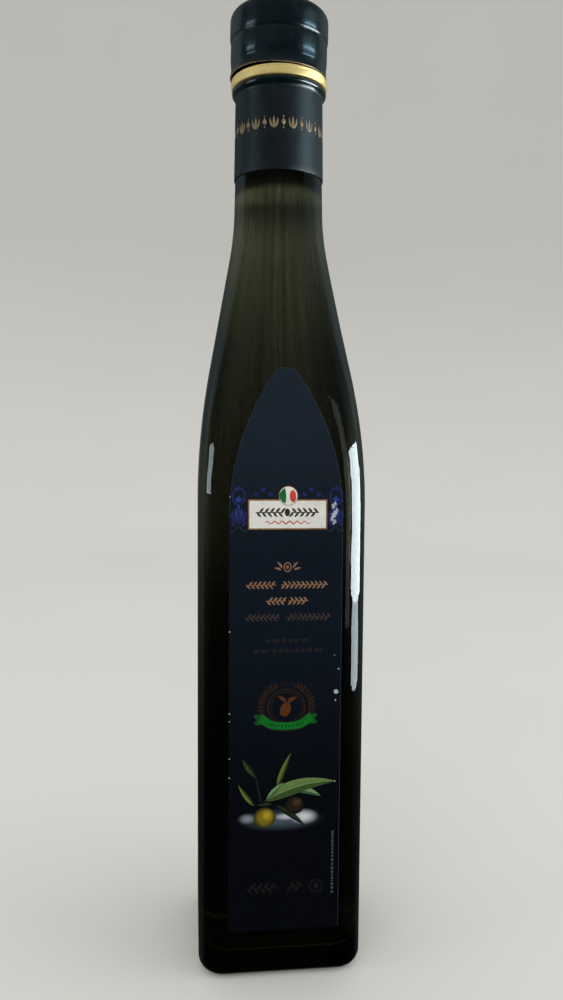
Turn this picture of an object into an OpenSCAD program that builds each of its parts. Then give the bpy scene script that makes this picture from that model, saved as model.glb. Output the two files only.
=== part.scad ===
// Tall half-litre oil bottle: a square glass body that sweeps into a round neck,
// filled with oil, closed by a long-skirt screw closure, with one arched front label.
// Millimetres. +Z is up, the origin is the centre of the foot, the label faces -Y.

/* [Body] */
// Width of the square body across its flats
body_w = 55.0; // [47:0.2:66]
// Radius of the body's upright corners
corner_r = 8.5; // [6:0.5:11]
// Height from the foot to the start of the shoulder
body_h = 156; // [130:0.5:190]
// Radius of the heel between the walls and the foot
heel_r = 4.5; // [3:0.5:6]
// Width of the flat rim that the bottle stands on
foot_w = 2.5; // [1.5:0.5:4]
// Depth of the hollow inside that rim
punt_h = 1.6; // [0.5:0.1:3]
// Thickness of the glass walls
wall_t = 3.0; // [2:0.1:4]
// Thickness of the glass floor, above the hollow
floor_t = 5.5; // [4:0.5:9]

/* [Shoulder and neck] */
// Height of the swept shoulder
shoulder_h = 102; // [84:1:124]
// Radius of the long outward curve above the body
shoulder_r = 264; // [150:1:320]
// Radius of the inward curve below the neck
sweep_r = 104; // [60:1:130]
// Outside radius of the round neck
neck_r = 15.0; // [13:0.1:18]
// Length of bare glass between shoulder and skirt
neck_h = 8; // [5:0.5:14]
// How much the neck is narrower at the skirt's lower edge, on the radius
neck_seat = 0.2; // [0:0.05:0.5]
// How much the neck narrows up to the bead, on the radius
neck_taper = 0.6; // [0.2:0.1:1]
// How far the finish under the cap stands in from the neck, on the radius
finish_in = 0.8; // [0.4:0.1:1.5]
// Radius of the mouth's bore
mouth_r = 10.6; // [9:0.1:11]
// Radius of the mouth's rounded rim
rim_r = 0.9; // [0.5:0.1:1.2]

/* [Oil] */
// Height of the oil's surface above the lower edge of the skirt
oil_up = 4; // [1:0.5:12]

/* [Closure] */
// Height of the sleeve that covers the neck
skirt_h = 27.4; // [22:0.2:33]
// Thickness of the sleeve and of the bands
skin_t = 0.25; // [0.2:0.05:0.5]
// Height of the bead on top of the sleeve
bead_h = 1.7; // [1.2:0.1:2.5]
// How far the bead stands out from the top of the sleeve
bead_out = 1.15; // [0.6:0.05:1.6]
// Height of the gold band
band_h = 3.2; // [2.5:0.1:5]
// How far the gold band stands out from the bead
band_out = 0.3; // [0.1:0.05:0.5]
// Open line between the gold band and the cap
band_gap = 1.2; // [0.8:0.1:2]
// Height of the cap
cap_h = 20.8; // [17:0.1:25]
// Wall of the cap, with its lining
cap_t = 1.1; // [0.8:0.1:1.4]
// How far the cap's upper ring stands out from the gold band
cap_out = 0.35; // [0.2:0.05:0.8]
// Height of the cap's lower ring, up to the groove
cap_low_h = 11.2; // [8:0.1:14]
// Depth of the groove between the cap's two rings
groove_d = 0.5; // [0.2:0.05:0.7]
// Radius of the cap's top edge
cap_edge_r = 2.8; // [1.5:0.1:4]
// Lean of the screwed-on cap, in degrees
cap_lean = 0.8; // [0:0.1:1.2]

/* [Label] */
// Width of the label
label_w = 36.6; // [30:0.2:38]
// Height of the label's lower edge above the foot
label_z = 16.6; // [8:0.1:30]
// Height of the label's upright sides
label_side_h = 137.2; // [110:0.2:145]
// Radius of the arched sides above them
arch_r = 80.5; // [60:0.5:100]
// Radius of the rounded tip
tip_r = 4.9; // [3:0.1:7]
// Radius of the lower corners
label_corner_r = 0.8; // [0.4:0.1:2]
// Sideways place of the label, from the middle of the face
label_off = 0.5; // [-1:0.1:1]
// Thickness of the paper
paper_t = 0.15; // [0.1:0.05:0.3]

/* [Hidden] */

round_fn = 96;          // facets of a full circle in the turned pieces
corner_steps = 10;      // facets of one corner of a bottle ring
shoulder_steps = 20;    // rings up the shoulder
heel_steps = 4;         // rings round the heel
edge_steps = 8;         // steps of a rounded edge
arch_steps = 24;        // steps up one side of the arch

fit_gap = 0.05;         // clearance between the pieces that lie on each other
seal_gap = 0.3;         // clearance over the mouth, which lets the cap lean
inner_corner_min = 2.5; // least radius of the inner corners
foot_corner_min = 1.5;  // least radius of the foot's corners
heel_more = 1.5;        // how much the inner heel's radius is more than the outer one's
throat_h = 8;           // length below the bead over which the bore widens
band_edge_r = 0.3;      // rounded edges of the gold band
ring_step = 0.25;       // how far the cap's lower ring stands in from the upper one
lip_h = 0.5;            // height of the lip at the cap's lower edge
lip_out = 0.1;          // how far that lip stands out
waist_in = 0.15;        // how far the cap is drawn in just above the lip
groove_lead = 0.05;     // how far the lower ring is drawn in below the groove
liner_r = 1;            // bevel inside the cap, under its top

inner_heel_r = heel_r + heel_more;
half_w = body_w / 2;
shoulder_top = body_h + shoulder_h;
skirt_z = shoulder_top + neck_h;
bead_z = skirt_z + skirt_h;
band_z = bead_z + bead_h + fit_gap;
cap_z = band_z + band_h + band_gap;
cap_top = cap_z + cap_h;
rim_z = cap_top - cap_t - seal_gap;
oil_z = skirt_z + oil_up;

// Radii of the glass where the closure covers it, then of the sleeve, the bead, the band and the cap.
neck_low_r = neck_r - neck_seat;
neck_top_r = neck_r - neck_taper;
finish_r = neck_r - finish_in;
facet_out = 1 / cos(45 / corner_steps);
collar_r = finish_r * facet_out + fit_gap;
sleeve_low_r = neck_low_r * facet_out + fit_gap + skin_t;
sleeve_top_r = neck_top_r * facet_out + fit_gap + skin_t;
bead_r = sleeve_top_r + bead_out;
band_r = bead_r + band_out;
cap_r = band_r + cap_out;
cap_low_r = cap_r - ring_step;

// The shoulder is a line with an arc at each end. Arcs too long for its height are cut down.
shoulder_in = half_w - neck_r;
arc_max = (shoulder_h * shoulder_h + shoulder_in * shoulder_in) / (2 * shoulder_in);
arc_share = min(1, 0.95 * arc_max / (shoulder_r + sweep_r));
low_arc = shoulder_r * arc_share;
top_arc = sweep_r * arc_share;
arc_sum = low_arc + top_arc;
slope = asin(arc_sum / norm([shoulder_h, arc_sum - shoulder_in])) - atan2(arc_sum - shoulder_in, shoulder_h);

// Half width of the outside at height z, from the heel's top to the top of the neck.
function outside(z) =
    let (up = z - body_h, down = shoulder_top - z)
    up <= 0 ? half_w
    : down <= 0 ? neck_r
    : up < low_arc * sin(slope) ? half_w - low_arc + sqrt(low_arc * low_arc - up * up)
    : down < top_arc * sin(slope) ? neck_r + top_arc - sqrt(top_arc * top_arc - down * down)
    : neck_r + top_arc * (1 - cos(slope)) + (down - top_arc * sin(slope)) * tan(slope);

// Corner radius of the outside where its half width is s: the square turns round as it narrows.
function corner(s) = let (share = (s - neck_r) / shoulder_in) s + (corner_r - s) * share;

// A level of the bottle is [half width, corner radius, height].
function level(s, r, z) = [s, min(r, s), z];
function outer_level(z) = let (s = outside(z)) level(s, corner(s), z);
function inner_level(z, in) = let (s = outside(z) - in) level(s, max(corner(s + in) - in, inner_corner_min), z);

shoulder_levels = [for (i = [0:shoulder_steps]) body_h + shoulder_h * i / shoulder_steps];

// Outside, from the middle of the hollow foot to the mouth's rim.
punt_s = half_w - heel_r - foot_w;
function foot_corner(s) = max(corner_r - (half_w - s), foot_corner_min);
outer_levels = concat(
    [for (t = [0.25, 0.6, 0.85]) level(punt_s * t, punt_s * t * 0.5, punt_h * (1 - t * t * t))],
    [for (s = [punt_s, punt_s + foot_w]) level(s, foot_corner(s), 0)],
    [for (i = [1:heel_steps])
        let (a = 90 * i / heel_steps, s = half_w - heel_r * (1 - sin(a)))
        level(s, foot_corner(s), heel_r * (1 - cos(a)))],
    [for (z = shoulder_levels) outer_level(z)],
    [level(neck_low_r, neck_low_r, skirt_z), level(neck_top_r, neck_top_r, bead_z),
     level(finish_r, finish_r, band_z), level(finish_r, finish_r, rim_z - rim_r),
     level(finish_r - rim_r * 0.3, finish_r, rim_z - rim_r * 0.3),
     level(finish_r - rim_r, finish_r, rim_z)]);

// Inside, from the mouth down to the glass floor, in from the outside by the wall.
function inside_levels(in, top) = concat(
    [level(neck_r - in, neck_r, top)],
    [for (i = [shoulder_steps:-1:0]) inner_level(shoulder_levels[i], in)],
    [for (i = [0:heel_steps])
        let (a = 90 * i / heel_steps, s = half_w - in - inner_heel_r * (1 - cos(a)))
        level(s, max(corner_r - in - inner_heel_r * (1 - cos(a)), inner_corner_min),
              punt_h + floor_t + in - wall_t + inner_heel_r * (1 - sin(a)))]);
mouth_levels = [
    level(mouth_r + rim_r * 0.4, neck_r, rim_z), level(mouth_r, neck_r, rim_z - rim_r),
    level(mouth_r, neck_r, band_z), level(neck_r - wall_t, neck_r, bead_z - throat_h)];

// Points of one level: a rounded square whose flats and arcs all touch the true outline.
function ring(lv) =
    let (s = lv[0], r = lv[1], z = lv[2], far = r / cos(45 / corner_steps))
    [for (q = [0:3], j = [0:corner_steps - 1])
        let (a = 90 * q + 90 * (j + 0.5) / corner_steps,
             cx = (q == 0 || q == 3 ? 1 : -1) * (s - r),
             cy = (q < 2 ? 1 : -1) * (s - r))
        [cx + far * cos(a), cy + far * sin(a), z]];

// Closed skin through a list of levels, with a middle point at each end.
module skin(levels, end_z) {
    n = 4 * corner_steps;
    last = len(levels) - 1;
    points = concat([[0, 0, end_z[0]]], [for (lv = levels) each ring(lv)], [[0, 0, end_z[1]]]);
    tail = len(points) - 1;
    faces = concat(
        [for (i = [0:n - 1]) [0, 1 + i, 1 + (i + 1) % n]],
        [for (k = [0:last - 1], i = [0:n - 1])
            [1 + k * n + i, 1 + (k + 1) * n + (i + 1) % n, 1 + k * n + (i + 1) % n]],
        [for (k = [0:last - 1], i = [0:n - 1])
            [1 + k * n + i, 1 + (k + 1) * n + i, 1 + (k + 1) * n + (i + 1) % n]],
        [for (i = [0:n - 1]) [tail, 1 + last * n + (i + 1) % n, 1 + last * n + i]]);
    polyhedron(points, faces);
}

// Arc of points round c, from angle a0 to a1.
function arc(c, r, a0, a1, steps) =
    [for (i = [0:steps]) let (a = a0 + (a1 - a0) * i / steps) [c[0] + r * cos(a), c[1] + r * sin(a)]];

// Hollow glass: the outside and the inside are one closed skin that turns over at the mouth.
module bottle() {
    color([0.07, 0.09, 0.05])
        skin(concat(outer_levels, mouth_levels, inside_levels(wall_t, skirt_z)),
             [punt_h, punt_h + floor_t]);
}

// Oil up to a level surface in the neck, hidden behind the sleeve.
module oil() {
    color([0.55, 0.5, 0.1])
        skin(inside_levels(wall_t + fit_gap, oil_z), [oil_z, punt_h + floor_t + fit_gap]);
}

// Sleeve down the neck, with the bead that the gold band sits on.
module skirt() {
    half = bead_h / 2;
    color([0.03, 0.05, 0.1])
        rotate_extrude($fn = round_fn)
            polygon(concat(
                [[sleeve_low_r - skin_t, skirt_z], [sleeve_low_r, skirt_z], [sleeve_top_r, bead_z - half / 2]],
                arc([bead_r - half, bead_z + half], half, -70, 70, edge_steps),
                [[bead_r - half, bead_z + bead_h], [collar_r, bead_z + bead_h],
                 [sleeve_top_r - skin_t, bead_z]]));
}

// Gold band between the sleeve and the cap.
module gold_band() {
    color([0.8, 0.68, 0.38])
        rotate_extrude($fn = round_fn)
            polygon(concat(
                [[collar_r, band_z]],
                arc([band_r - band_edge_r, band_z + band_edge_r], band_edge_r, -90, 0, 4),
                arc([band_r - band_edge_r, band_z + band_h - band_edge_r], band_edge_r, 0, 90, 4),
                [[collar_r, band_z + band_h]]));
}

// Screw cap: two rings with a groove between them, a rounded top and an open inside.
module cap() {
    groove_z = cap_z + cap_low_h;
    color([0.03, 0.05, 0.1])
        translate([0, 0, rim_z])
            rotate([0, cap_lean, 0])
                translate([0, 0, -rim_z])
                    rotate_extrude($fn = round_fn)
                        polygon(concat(
                            [[cap_r - cap_t, cap_z], [cap_low_r + lip_out, cap_z], [cap_low_r + lip_out, cap_z + lip_h]],
                            [[cap_low_r - waist_in, cap_z + 3 * lip_h], [cap_low_r, cap_z + cap_low_h / 2]],
                            [[cap_low_r - groove_lead, groove_z - 2 * groove_d]],
                            arc([cap_low_r - groove_lead + groove_d, groove_z], 2 * groove_d, 240, 120, edge_steps),
                            [[cap_r, groove_z + 3 * groove_d]],
                            arc([cap_r - cap_edge_r, cap_top - cap_edge_r], cap_edge_r, 0, 90, edge_steps),
                            [[0, cap_top], [0, cap_top - cap_t], [cap_r - cap_t - liner_r, cap_top - cap_t],
                             [cap_r - cap_t, cap_top - cap_t - liner_r]]));
}

// Front of the label, seen square on: upright sides, an arch and a rounded tip.
module label_outline() {
    half = label_w / 2;
    arch_z = label_z + label_side_h;
    tip_z = arch_z + sqrt(pow(arch_r - tip_r, 2) - pow(arch_r - half, 2));
    arch_a = atan2(tip_z - arch_z, arch_r - half);
    right = concat(
        arc([half - label_corner_r, label_z + label_corner_r], label_corner_r, -90, 0, edge_steps),
        arc([half - arch_r, arch_z], arch_r, 0, arch_a, arch_steps),
        arc([0, tip_z], tip_r, arch_a + 5, 90, edge_steps));
    left = [for (i = [len(right) - 2:-1:0]) [-right[i][0], right[i][1]]];
    translate([label_off, 0]) polygon(concat(right, left));
}

// Side view of the paper's path up the front face, over the same levels as the glass.
module label_path() {
    levels = concat([0], [for (z = shoulder_levels) z]);
    near = [for (z = levels) [outside(z) + fit_gap, z]];
    far = [for (i = [len(levels) - 1:-1:0]) [outside(levels[i]) + fit_gap + paper_t, levels[i]]];
    polygon(concat(near, far));
}

// Paper label: its outline cut from a sheet that follows the front face.
module label() {
    color([0.06, 0.09, 0.18])
        intersection() {
            rotate([90, 0, 0])
                linear_extrude(half_w + 2) label_outline();
            translate([half_w, 0, 0])
                rotate([90, 0, -90])
                    linear_extrude(body_w) label_path();
        }
}

bottle();
oil();
skirt();
gold_band();
cap();
label();
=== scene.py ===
"""Looks of a tall square olive oil bottle: dark glass, oil, lacquered closure and printed label.

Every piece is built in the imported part's own frame: metres, +Z up, the label facing -Y.
Sizes inside the classes are in millimetres and are turned into metres as a piece is made.
"""

import logging
import math
import random
from dataclasses import dataclass
from enum import Enum
from typing import Callable, Optional, Sequence

import bmesh
import bpy
from mathutils import Matrix, Vector


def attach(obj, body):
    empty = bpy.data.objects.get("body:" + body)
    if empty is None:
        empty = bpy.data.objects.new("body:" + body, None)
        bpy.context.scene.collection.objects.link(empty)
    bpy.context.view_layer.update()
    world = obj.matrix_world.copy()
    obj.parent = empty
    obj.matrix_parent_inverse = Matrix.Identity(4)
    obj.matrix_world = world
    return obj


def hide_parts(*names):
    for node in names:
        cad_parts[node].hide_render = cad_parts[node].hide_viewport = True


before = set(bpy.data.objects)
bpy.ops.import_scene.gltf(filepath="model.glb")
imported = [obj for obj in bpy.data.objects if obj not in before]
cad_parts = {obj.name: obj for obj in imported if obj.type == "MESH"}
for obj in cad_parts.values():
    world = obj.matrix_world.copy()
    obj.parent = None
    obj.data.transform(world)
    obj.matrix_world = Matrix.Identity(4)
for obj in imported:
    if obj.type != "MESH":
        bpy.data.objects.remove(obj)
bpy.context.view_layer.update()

LOG = logging.getLogger("oil_bottle")
MM = 0.001
BLACK = (0.0, 0.0, 0.0)
PRINT_ROUGHNESS = 0.55
PRINT_SPECULAR = 0.15
Colour = tuple[float, float, float]
Point = tuple[float, float]


class Side(Enum):
    """Left or right of the label's middle line."""

    LEFT = -1
    RIGHT = 1


class Slot(Enum):
    """Material slots that the record names."""

    GLASS = "dark_glass"
    OIL = "oil"
    LACQUER = "closure_blue"
    GOLD = "gold"
    PAPER = "label_paper"


class Rays(Enum):
    """What a light is for: the soft fill of everything, or the shine on some pieces."""

    FILL = "fill"
    POLISHED = "polished_pieces"
    GLASS = "glass_pieces"
    CLOSURE = "closure_pieces"
    GOLD = "gold_pieces"

    def light(self, piece: bpy.types.Object) -> None:
        """Lets the lights of this kind reach a piece."""
        bpy.data.collections[self.value].objects.link(piece)


# ---------------------------------------------------------------- shader nodes


class Shader:
    """A node tree with short calls for adding, setting and linking nodes."""

    MIX_INPUTS = (0, 6, 7)
    MIX_OUTPUT = 2

    def __init__(self, tree: bpy.types.NodeTree) -> None:
        """Keeps the tree.

        Args:
            tree: The node tree that nodes are added to.
        """
        self.tree = tree

    def add(self, kind: str, settings: Optional[dict] = None, **inputs: object) -> bpy.types.Node:
        """Adds one node.

        Args:
            kind: The node's type name, without the ShaderNode prefix.
            settings: Attributes to set on the node.
            inputs: Input sockets by name, with _ for a space: a value, or a socket to link.

        Returns:
            The new node.
        """
        node = self.tree.nodes.new("ShaderNode" + kind)
        for name, value in (settings or {}).items():
            setattr(node, name, value)
        for name, value in inputs.items():
            socket = node.inputs[name.replace("_", " ")]
            if isinstance(value, bpy.types.NodeSocket):
                self.tree.links.new(value, socket)
            else:
                socket.default_value = value
        return node

    def link(self, source: bpy.types.NodeSocket, target: bpy.types.NodeSocket) -> None:
        """Links two sockets."""
        self.tree.links.new(source, target)

    def math(self, operation: str, first: object, second: object = 0.0) -> bpy.types.NodeSocket:
        """Adds a Math node.

        Args:
            operation: Blender's name of the operation.
            first: First value or socket.
            second: Second value or socket.

        Returns:
            The node's output socket.
        """
        node = self.add("Math", {"operation": operation})
        for socket, value in zip(node.inputs, (first, second)):
            if isinstance(value, bpy.types.NodeSocket):
                self.link(value, socket)
            else:
                socket.default_value = value
        return node.outputs[0]

    def ramp(self, value: bpy.types.NodeSocket, low: float, high: float, start: float = 0.0,
             end: float = 1.0) -> bpy.types.NodeSocket:
        """Maps a value from low..high to start..end, held inside the ends.

        Args:
            value: Socket with the value.
            low: Value that gives start.
            high: Value that gives end.
            start: Result at low.
            end: Result at high.

        Returns:
            The mapped value's socket.
        """
        node = self.add("MapRange", {"interpolation_type": "SMOOTHSTEP"}, Value=value, From_Min=low,
                        From_Max=high, To_Min=start, To_Max=end)
        return node.outputs["Result"]

    def mix(self, share: object, first: object, second: object) -> bpy.types.NodeSocket:
        """Mixes two colours.

        Args:
            share: Share of the second colour, a number or a socket.
            first: First colour, as three numbers or a socket.
            second: Second colour, as three numbers or a socket.

        Returns:
            The mixed colour's socket.
        """
        node = self.add("Mix", {"data_type": "RGBA"})
        for number, value in zip(self.MIX_INPUTS, (share, first, second)):
            socket = node.inputs[number]
            if isinstance(value, bpy.types.NodeSocket):
                self.link(value, socket)
            elif isinstance(value, tuple):
                socket.default_value = (*value, 1.0)
            else:
                socket.default_value = value
        return node.outputs[self.MIX_OUTPUT]

    def shaded(self, colour: bpy.types.NodeSocket, tone: bpy.types.NodeSocket) -> bpy.types.NodeSocket:
        """Multiplies a colour by a tone near 1.

        Args:
            colour: Socket with the colour.
            tone: Socket with the tone.

        Returns:
            The shaded colour's socket.
        """
        made = self.mix(1.0, colour, tone)
        made.node.blend_type = "MULTIPLY"
        return made

    def bump(self, height: bpy.types.NodeSocket, surface: bpy.types.Node, strength: float,
             distance: float) -> None:
        """Gives a surface fine relief.

        Args:
            height: Socket with the height.
            surface: The shader node that gets the normal.
            strength: Share of the relief that shows.
            distance: Depth of the relief, in metres.
        """
        made = self.add("Bump", Strength=strength, Distance=distance, Height=height)
        self.link(made.outputs["Normal"], surface.inputs["Normal"])

    def place(self) -> bpy.types.Node:
        """Adds a node that gives the X, Y and Z of a point on the piece."""
        return self.add("SeparateXYZ", Vector=self.add("TexCoord").outputs["Object"])


class EffectGroups:
    """Shader node groups for effects that several materials share, each made once."""

    def __init__(self) -> None:
        """Builds every group."""
        number = "NodeSocketFloat"
        self.grain = self._build("fine_grain", {"Scale": 900.0, "Stretch": 1.0, "Strength": 0.5},
                                 {"Tone": number, "Height": number}, self._grain)
        self.handling = self._build("handling_marks", {"Scale": 60.0, "Clean": 0.1, "Marked": 0.2},
                                    {"Roughness": number, "Mask": number}, self._handling)
        # Painted light and shade: streaks that stand for the surroundings seen through the glass, painted
        # into its colour.
        self.streaks = self._build("painted_surround_streaks", {"Fine": 20.0, "Run": 12.0, "From": 0.10, "To": 0.19},
                                   {"Tone": number, "Height": number}, self._painted_streaks)
        self.spot = self._build("soft_spot", {"X": 0.0, "Z": 0.0, "Width": 0.01, "Height": 0.01},
                                {"Mask": number}, self._spot)

    @staticmethod
    def _build(name: str, inputs: dict[str, float], outputs: dict[str, str],
               fill: Callable[[Shader, bpy.types.Node, bpy.types.Node], None]) -> bpy.types.NodeTree:
        """Makes one group with its sockets and fills it.

        Args:
            name: The group's name.
            inputs: Names and usual values of its number inputs.
            outputs: Names and socket types of its outputs.
            fill: Function that adds the nodes between the group's two ends.

        Returns:
            The finished group.
        """
        tree = bpy.data.node_groups.new(name, "ShaderNodeTree")
        for label, value in inputs.items():
            socket = tree.interface.new_socket(name=label, in_out="INPUT", socket_type="NodeSocketFloat")
            socket.default_value = value
        for label, kind in outputs.items():
            tree.interface.new_socket(name=label, in_out="OUTPUT", socket_type=kind)
        start = tree.nodes.new("NodeGroupInput")
        end = tree.nodes.new("NodeGroupOutput")
        fill(Shader(tree), start, end)
        return tree

    @staticmethod
    def _grain(shader: Shader, start: bpy.types.Node, end: bpy.types.Node) -> None:
        """Fine fibres or specks: a tone near 1 and a height, from noise that may be stretched upright.

        Args:
            shader: The group's tree.
            start: The group's input node.
            end: The group's output node.
        """
        place = shader.add("TexCoord").outputs["Object"]
        stretch = shader.add("CombineXYZ", X=1.0, Y=1.0, Z=start.outputs["Stretch"])
        scaled = shader.add("VectorMath", {"operation": "MULTIPLY"})
        shader.link(place, scaled.inputs[0])
        shader.link(stretch.outputs[0], scaled.inputs[1])
        noise = shader.add("TexNoise", Detail=4.0, Roughness=0.65, Vector=scaled.outputs[0],
                           Scale=start.outputs["Scale"])
        centred = shader.math("SUBTRACT", noise.outputs["Fac"], 0.5)
        swing = shader.math("MULTIPLY", centred, start.outputs["Strength"])
        shader.link(shader.math("ADD", swing, 1.0), end.inputs["Tone"])
        shader.link(noise.outputs["Fac"], end.inputs["Height"])

    @staticmethod
    def _handling(shader: Shader, start: bpy.types.Node, end: bpy.types.Node) -> None:
        """Faint smudges and dust: roughness between a clean and a marked value.

        Args:
            shader: The group's tree.
            start: The group's input node.
            end: The group's output node.
        """
        broad = shader.add("TexNoise", Detail=5.0, Roughness=0.6, Distortion=0.4,
                           Scale=start.outputs["Scale"], Vector=shader.add("TexCoord").outputs["Object"])
        mask = shader.ramp(broad.outputs["Fac"], 0.45, 0.7)
        span = shader.math("SUBTRACT", start.outputs["Marked"], start.outputs["Clean"])
        shader.link(shader.math("ADD", shader.math("MULTIPLY", span, mask), start.outputs["Clean"]),
                    end.inputs["Roughness"])
        shader.link(mask, end.inputs["Mask"])

    @staticmethod
    def _painted_streaks(shader: Shader, start: bpy.types.Node, end: bpy.types.Node) -> None:
        """Painted light and shade: upright light and dark streaks that stand for the surroundings seen
        through the glass, drawing together where the glass narrows, between two heights.

        Args:
            shader: The group's tree.
            start: The group's input node.
            end: The group's output node.
        """
        parts = shader.place()
        level = shader.add("CombineXYZ", X=parts.outputs["X"], Y=parts.outputs["Y"])
        way = shader.add("VectorMath", {"operation": "NORMALIZE"}, Vector=level.outputs[0])
        fine = shader.add("VectorMath", {"operation": "SCALE"}, Vector=way.outputs[0],
                          Scale=start.outputs["Fine"])
        rise = shader.add("CombineXYZ", Z=shader.math("MULTIPLY", parts.outputs["Z"], start.outputs["Run"]))
        whole = shader.add("VectorMath", {"operation": "ADD"})
        shader.link(fine.outputs[0], whole.inputs[0])
        shader.link(rise.outputs[0], whole.inputs[1])
        noise = shader.add("TexNoise", Scale=1.0, Detail=2.0, Roughness=0.55, Distortion=0.15,
                           Vector=whole.outputs[0])
        rising = shader.add("MapRange", {"interpolation_type": "SMOOTHSTEP"}, Value=parts.outputs["Z"],
                            From_Min=start.outputs["From"], From_Max=start.outputs["To"])
        tone = shader.ramp(noise.outputs["Fac"], 0.58, 0.42)
        shader.link(shader.math("MULTIPLY", tone, rising.outputs["Result"]), end.inputs["Tone"])
        shader.link(noise.outputs["Fac"], end.inputs["Height"])

    @staticmethod
    def _spot(shader: Shader, start: bpy.types.Node, end: bpy.types.Node) -> None:
        """A soft round or oval field on the front face: 1 in its middle, 0 at its rim.

        Args:
            shader: The group's tree.
            start: The group's input node.
            end: The group's output node.
        """
        place = shader.place()
        squares = []
        for axis, size in (("X", "Width"), ("Z", "Height")):
            off = shader.math("SUBTRACT", place.outputs[axis], start.outputs[axis])
            share = shader.math("DIVIDE", off, start.outputs[size])
            squares.append(shader.math("MULTIPLY", share, share))
        away = shader.math("SQRT", shader.math("ADD", *squares))
        shader.link(shader.ramp(away, 1.0, 0.1), end.inputs["Mask"])

    @staticmethod
    def place(shader: Shader, group: bpy.types.NodeTree, **inputs: float) -> bpy.types.Node:
        """Puts a group into a material with its own values.

        Args:
            shader: The material's tree.
            group: The group to place.
            inputs: Values for its inputs.

        Returns:
            The group node.
        """
        node = shader.tree.nodes.new("ShaderNodeGroup")
        node.node_tree = group
        for name, value in inputs.items():
            node.inputs[name].default_value = value
        return node


# ---------------------------------------------------------------- finishes


def new_material(name: str) -> tuple[bpy.types.Material, Shader, bpy.types.Node]:
    """Makes an empty node material.

    Args:
        name: The material's name.

    Returns:
        The material, its tree and its Principled BSDF.
    """
    material = bpy.data.materials.new(name)
    material.use_nodes = True
    return material, Shader(material.node_tree), material.node_tree.nodes["Principled BSDF"]


def set_inputs(node: bpy.types.Node, **values: object) -> None:
    """Sets constant values on a node's sockets.

    Args:
        node: The node.
        values: Socket names, with _ for a space, and their values. Three numbers make a colour.
    """
    for name, value in values.items():
        socket = node.inputs[name.replace("_", " ")]
        socket.default_value = (*value, 1.0) if isinstance(value, tuple) and len(value) == 3 else value


@dataclass(frozen=True)
class Finish:
    """A look that makes a material. Each kind of finish paints its own nodes."""

    name: str

    def material(self, groups: EffectGroups) -> bpy.types.Material:
        """Builds the material.

        Args:
            groups: The shared effects.

        Returns:
            The material.
        """
        material, shader, surface = new_material(self.name)
        self.paint(shader, surface, groups)
        return material

    def paint(self, shader: Shader, surface: bpy.types.Node, groups: EffectGroups) -> None:
        """Adds the finish's nodes. Every kind of finish has its own.

        Args:
            shader: The material's tree.
            surface: Its Principled BSDF.
            groups: The shared effects.
        """
        raise NotImplementedError


@dataclass(frozen=True)
class ClearFinish(Finish):
    """Glass or oil: a clear body that takes up light on its way through."""

    tint: Colour
    # Colour of the painted streaks that stand for the surroundings seen through the glass.
    painted_streak: Colour
    ior: float
    kept: Colour
    strength: float
    clean: float = 0.0
    marked: float = 0.0
    ripple: float = 0.0

    def paint(self, shader: Shader, surface: bpy.types.Node, groups: EffectGroups) -> None:
        """Adds a clear surface, with its painted streaks of the surroundings and its ripples if any, and a
        body that keeps some of the light.

        Args:
            shader: The material's tree.
            surface: Its Principled BSDF.
            groups: The shared effects.
        """
        set_inputs(surface, Base_Color=self.tint, Transmission_Weight=1.0, IOR=self.ior)
        # Painted light and shade: the surroundings seen through the glass, as streaks in its colour.
        if self.painted_streak != self.tint:
            streaks = groups.place(shader, groups.streaks)
            tone = shader.mix(streaks.outputs["Tone"], self.tint, self.painted_streak)
            shader.link(tone, surface.inputs["Base Color"])
        marks = groups.place(shader, groups.handling, Scale=45.0, Clean=self.clean, Marked=self.marked)
        shader.link(marks.outputs["Roughness"], surface.inputs["Roughness"])
        if self.ripple:
            drawn = groups.place(shader, groups.grain, Scale=150.0, Stretch=0.045, Strength=1.0)
            shader.bump(drawn.outputs["Height"], surface, self.ripple, 0.0006)
        inside = shader.add("VolumeAbsorption", Color=(*self.kept, 1.0), Density=self.strength)
        shader.link(inside.outputs[0], shader.tree.nodes["Material Output"].inputs["Volume"])


@dataclass(frozen=True)
class LacquerFinish(Finish):
    """Dark lacquer on thin metal, with a clear coat and a faint orange-peel."""

    colour: Colour
    worn: Colour
    clean: float
    marked: float
    coat: float

    def paint(self, shader: Shader, surface: bpy.types.Node, groups: EffectGroups) -> None:
        """Adds two near tones, a faint peel and the coat.

        Args:
            shader: The material's tree.
            surface: Its Principled BSDF.
            groups: The shared effects.
        """
        marks = groups.place(shader, groups.handling, Scale=120.0, Clean=self.clean, Marked=self.marked)
        peel = groups.place(shader, groups.grain, Scale=1400.0, Stretch=1.0, Strength=0.35)
        tone = shader.mix(marks.outputs["Mask"], self.colour, self.worn)
        shader.link(shader.shaded(tone, peel.outputs["Tone"]), surface.inputs["Base Color"])
        shader.link(marks.outputs["Roughness"], surface.inputs["Roughness"])
        shader.bump(peel.outputs["Height"], surface, 0.06, 0.0002)
        set_inputs(surface, Coat_Weight=self.coat, Coat_Roughness=0.12, Specular_IOR_Level=0.5)


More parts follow.
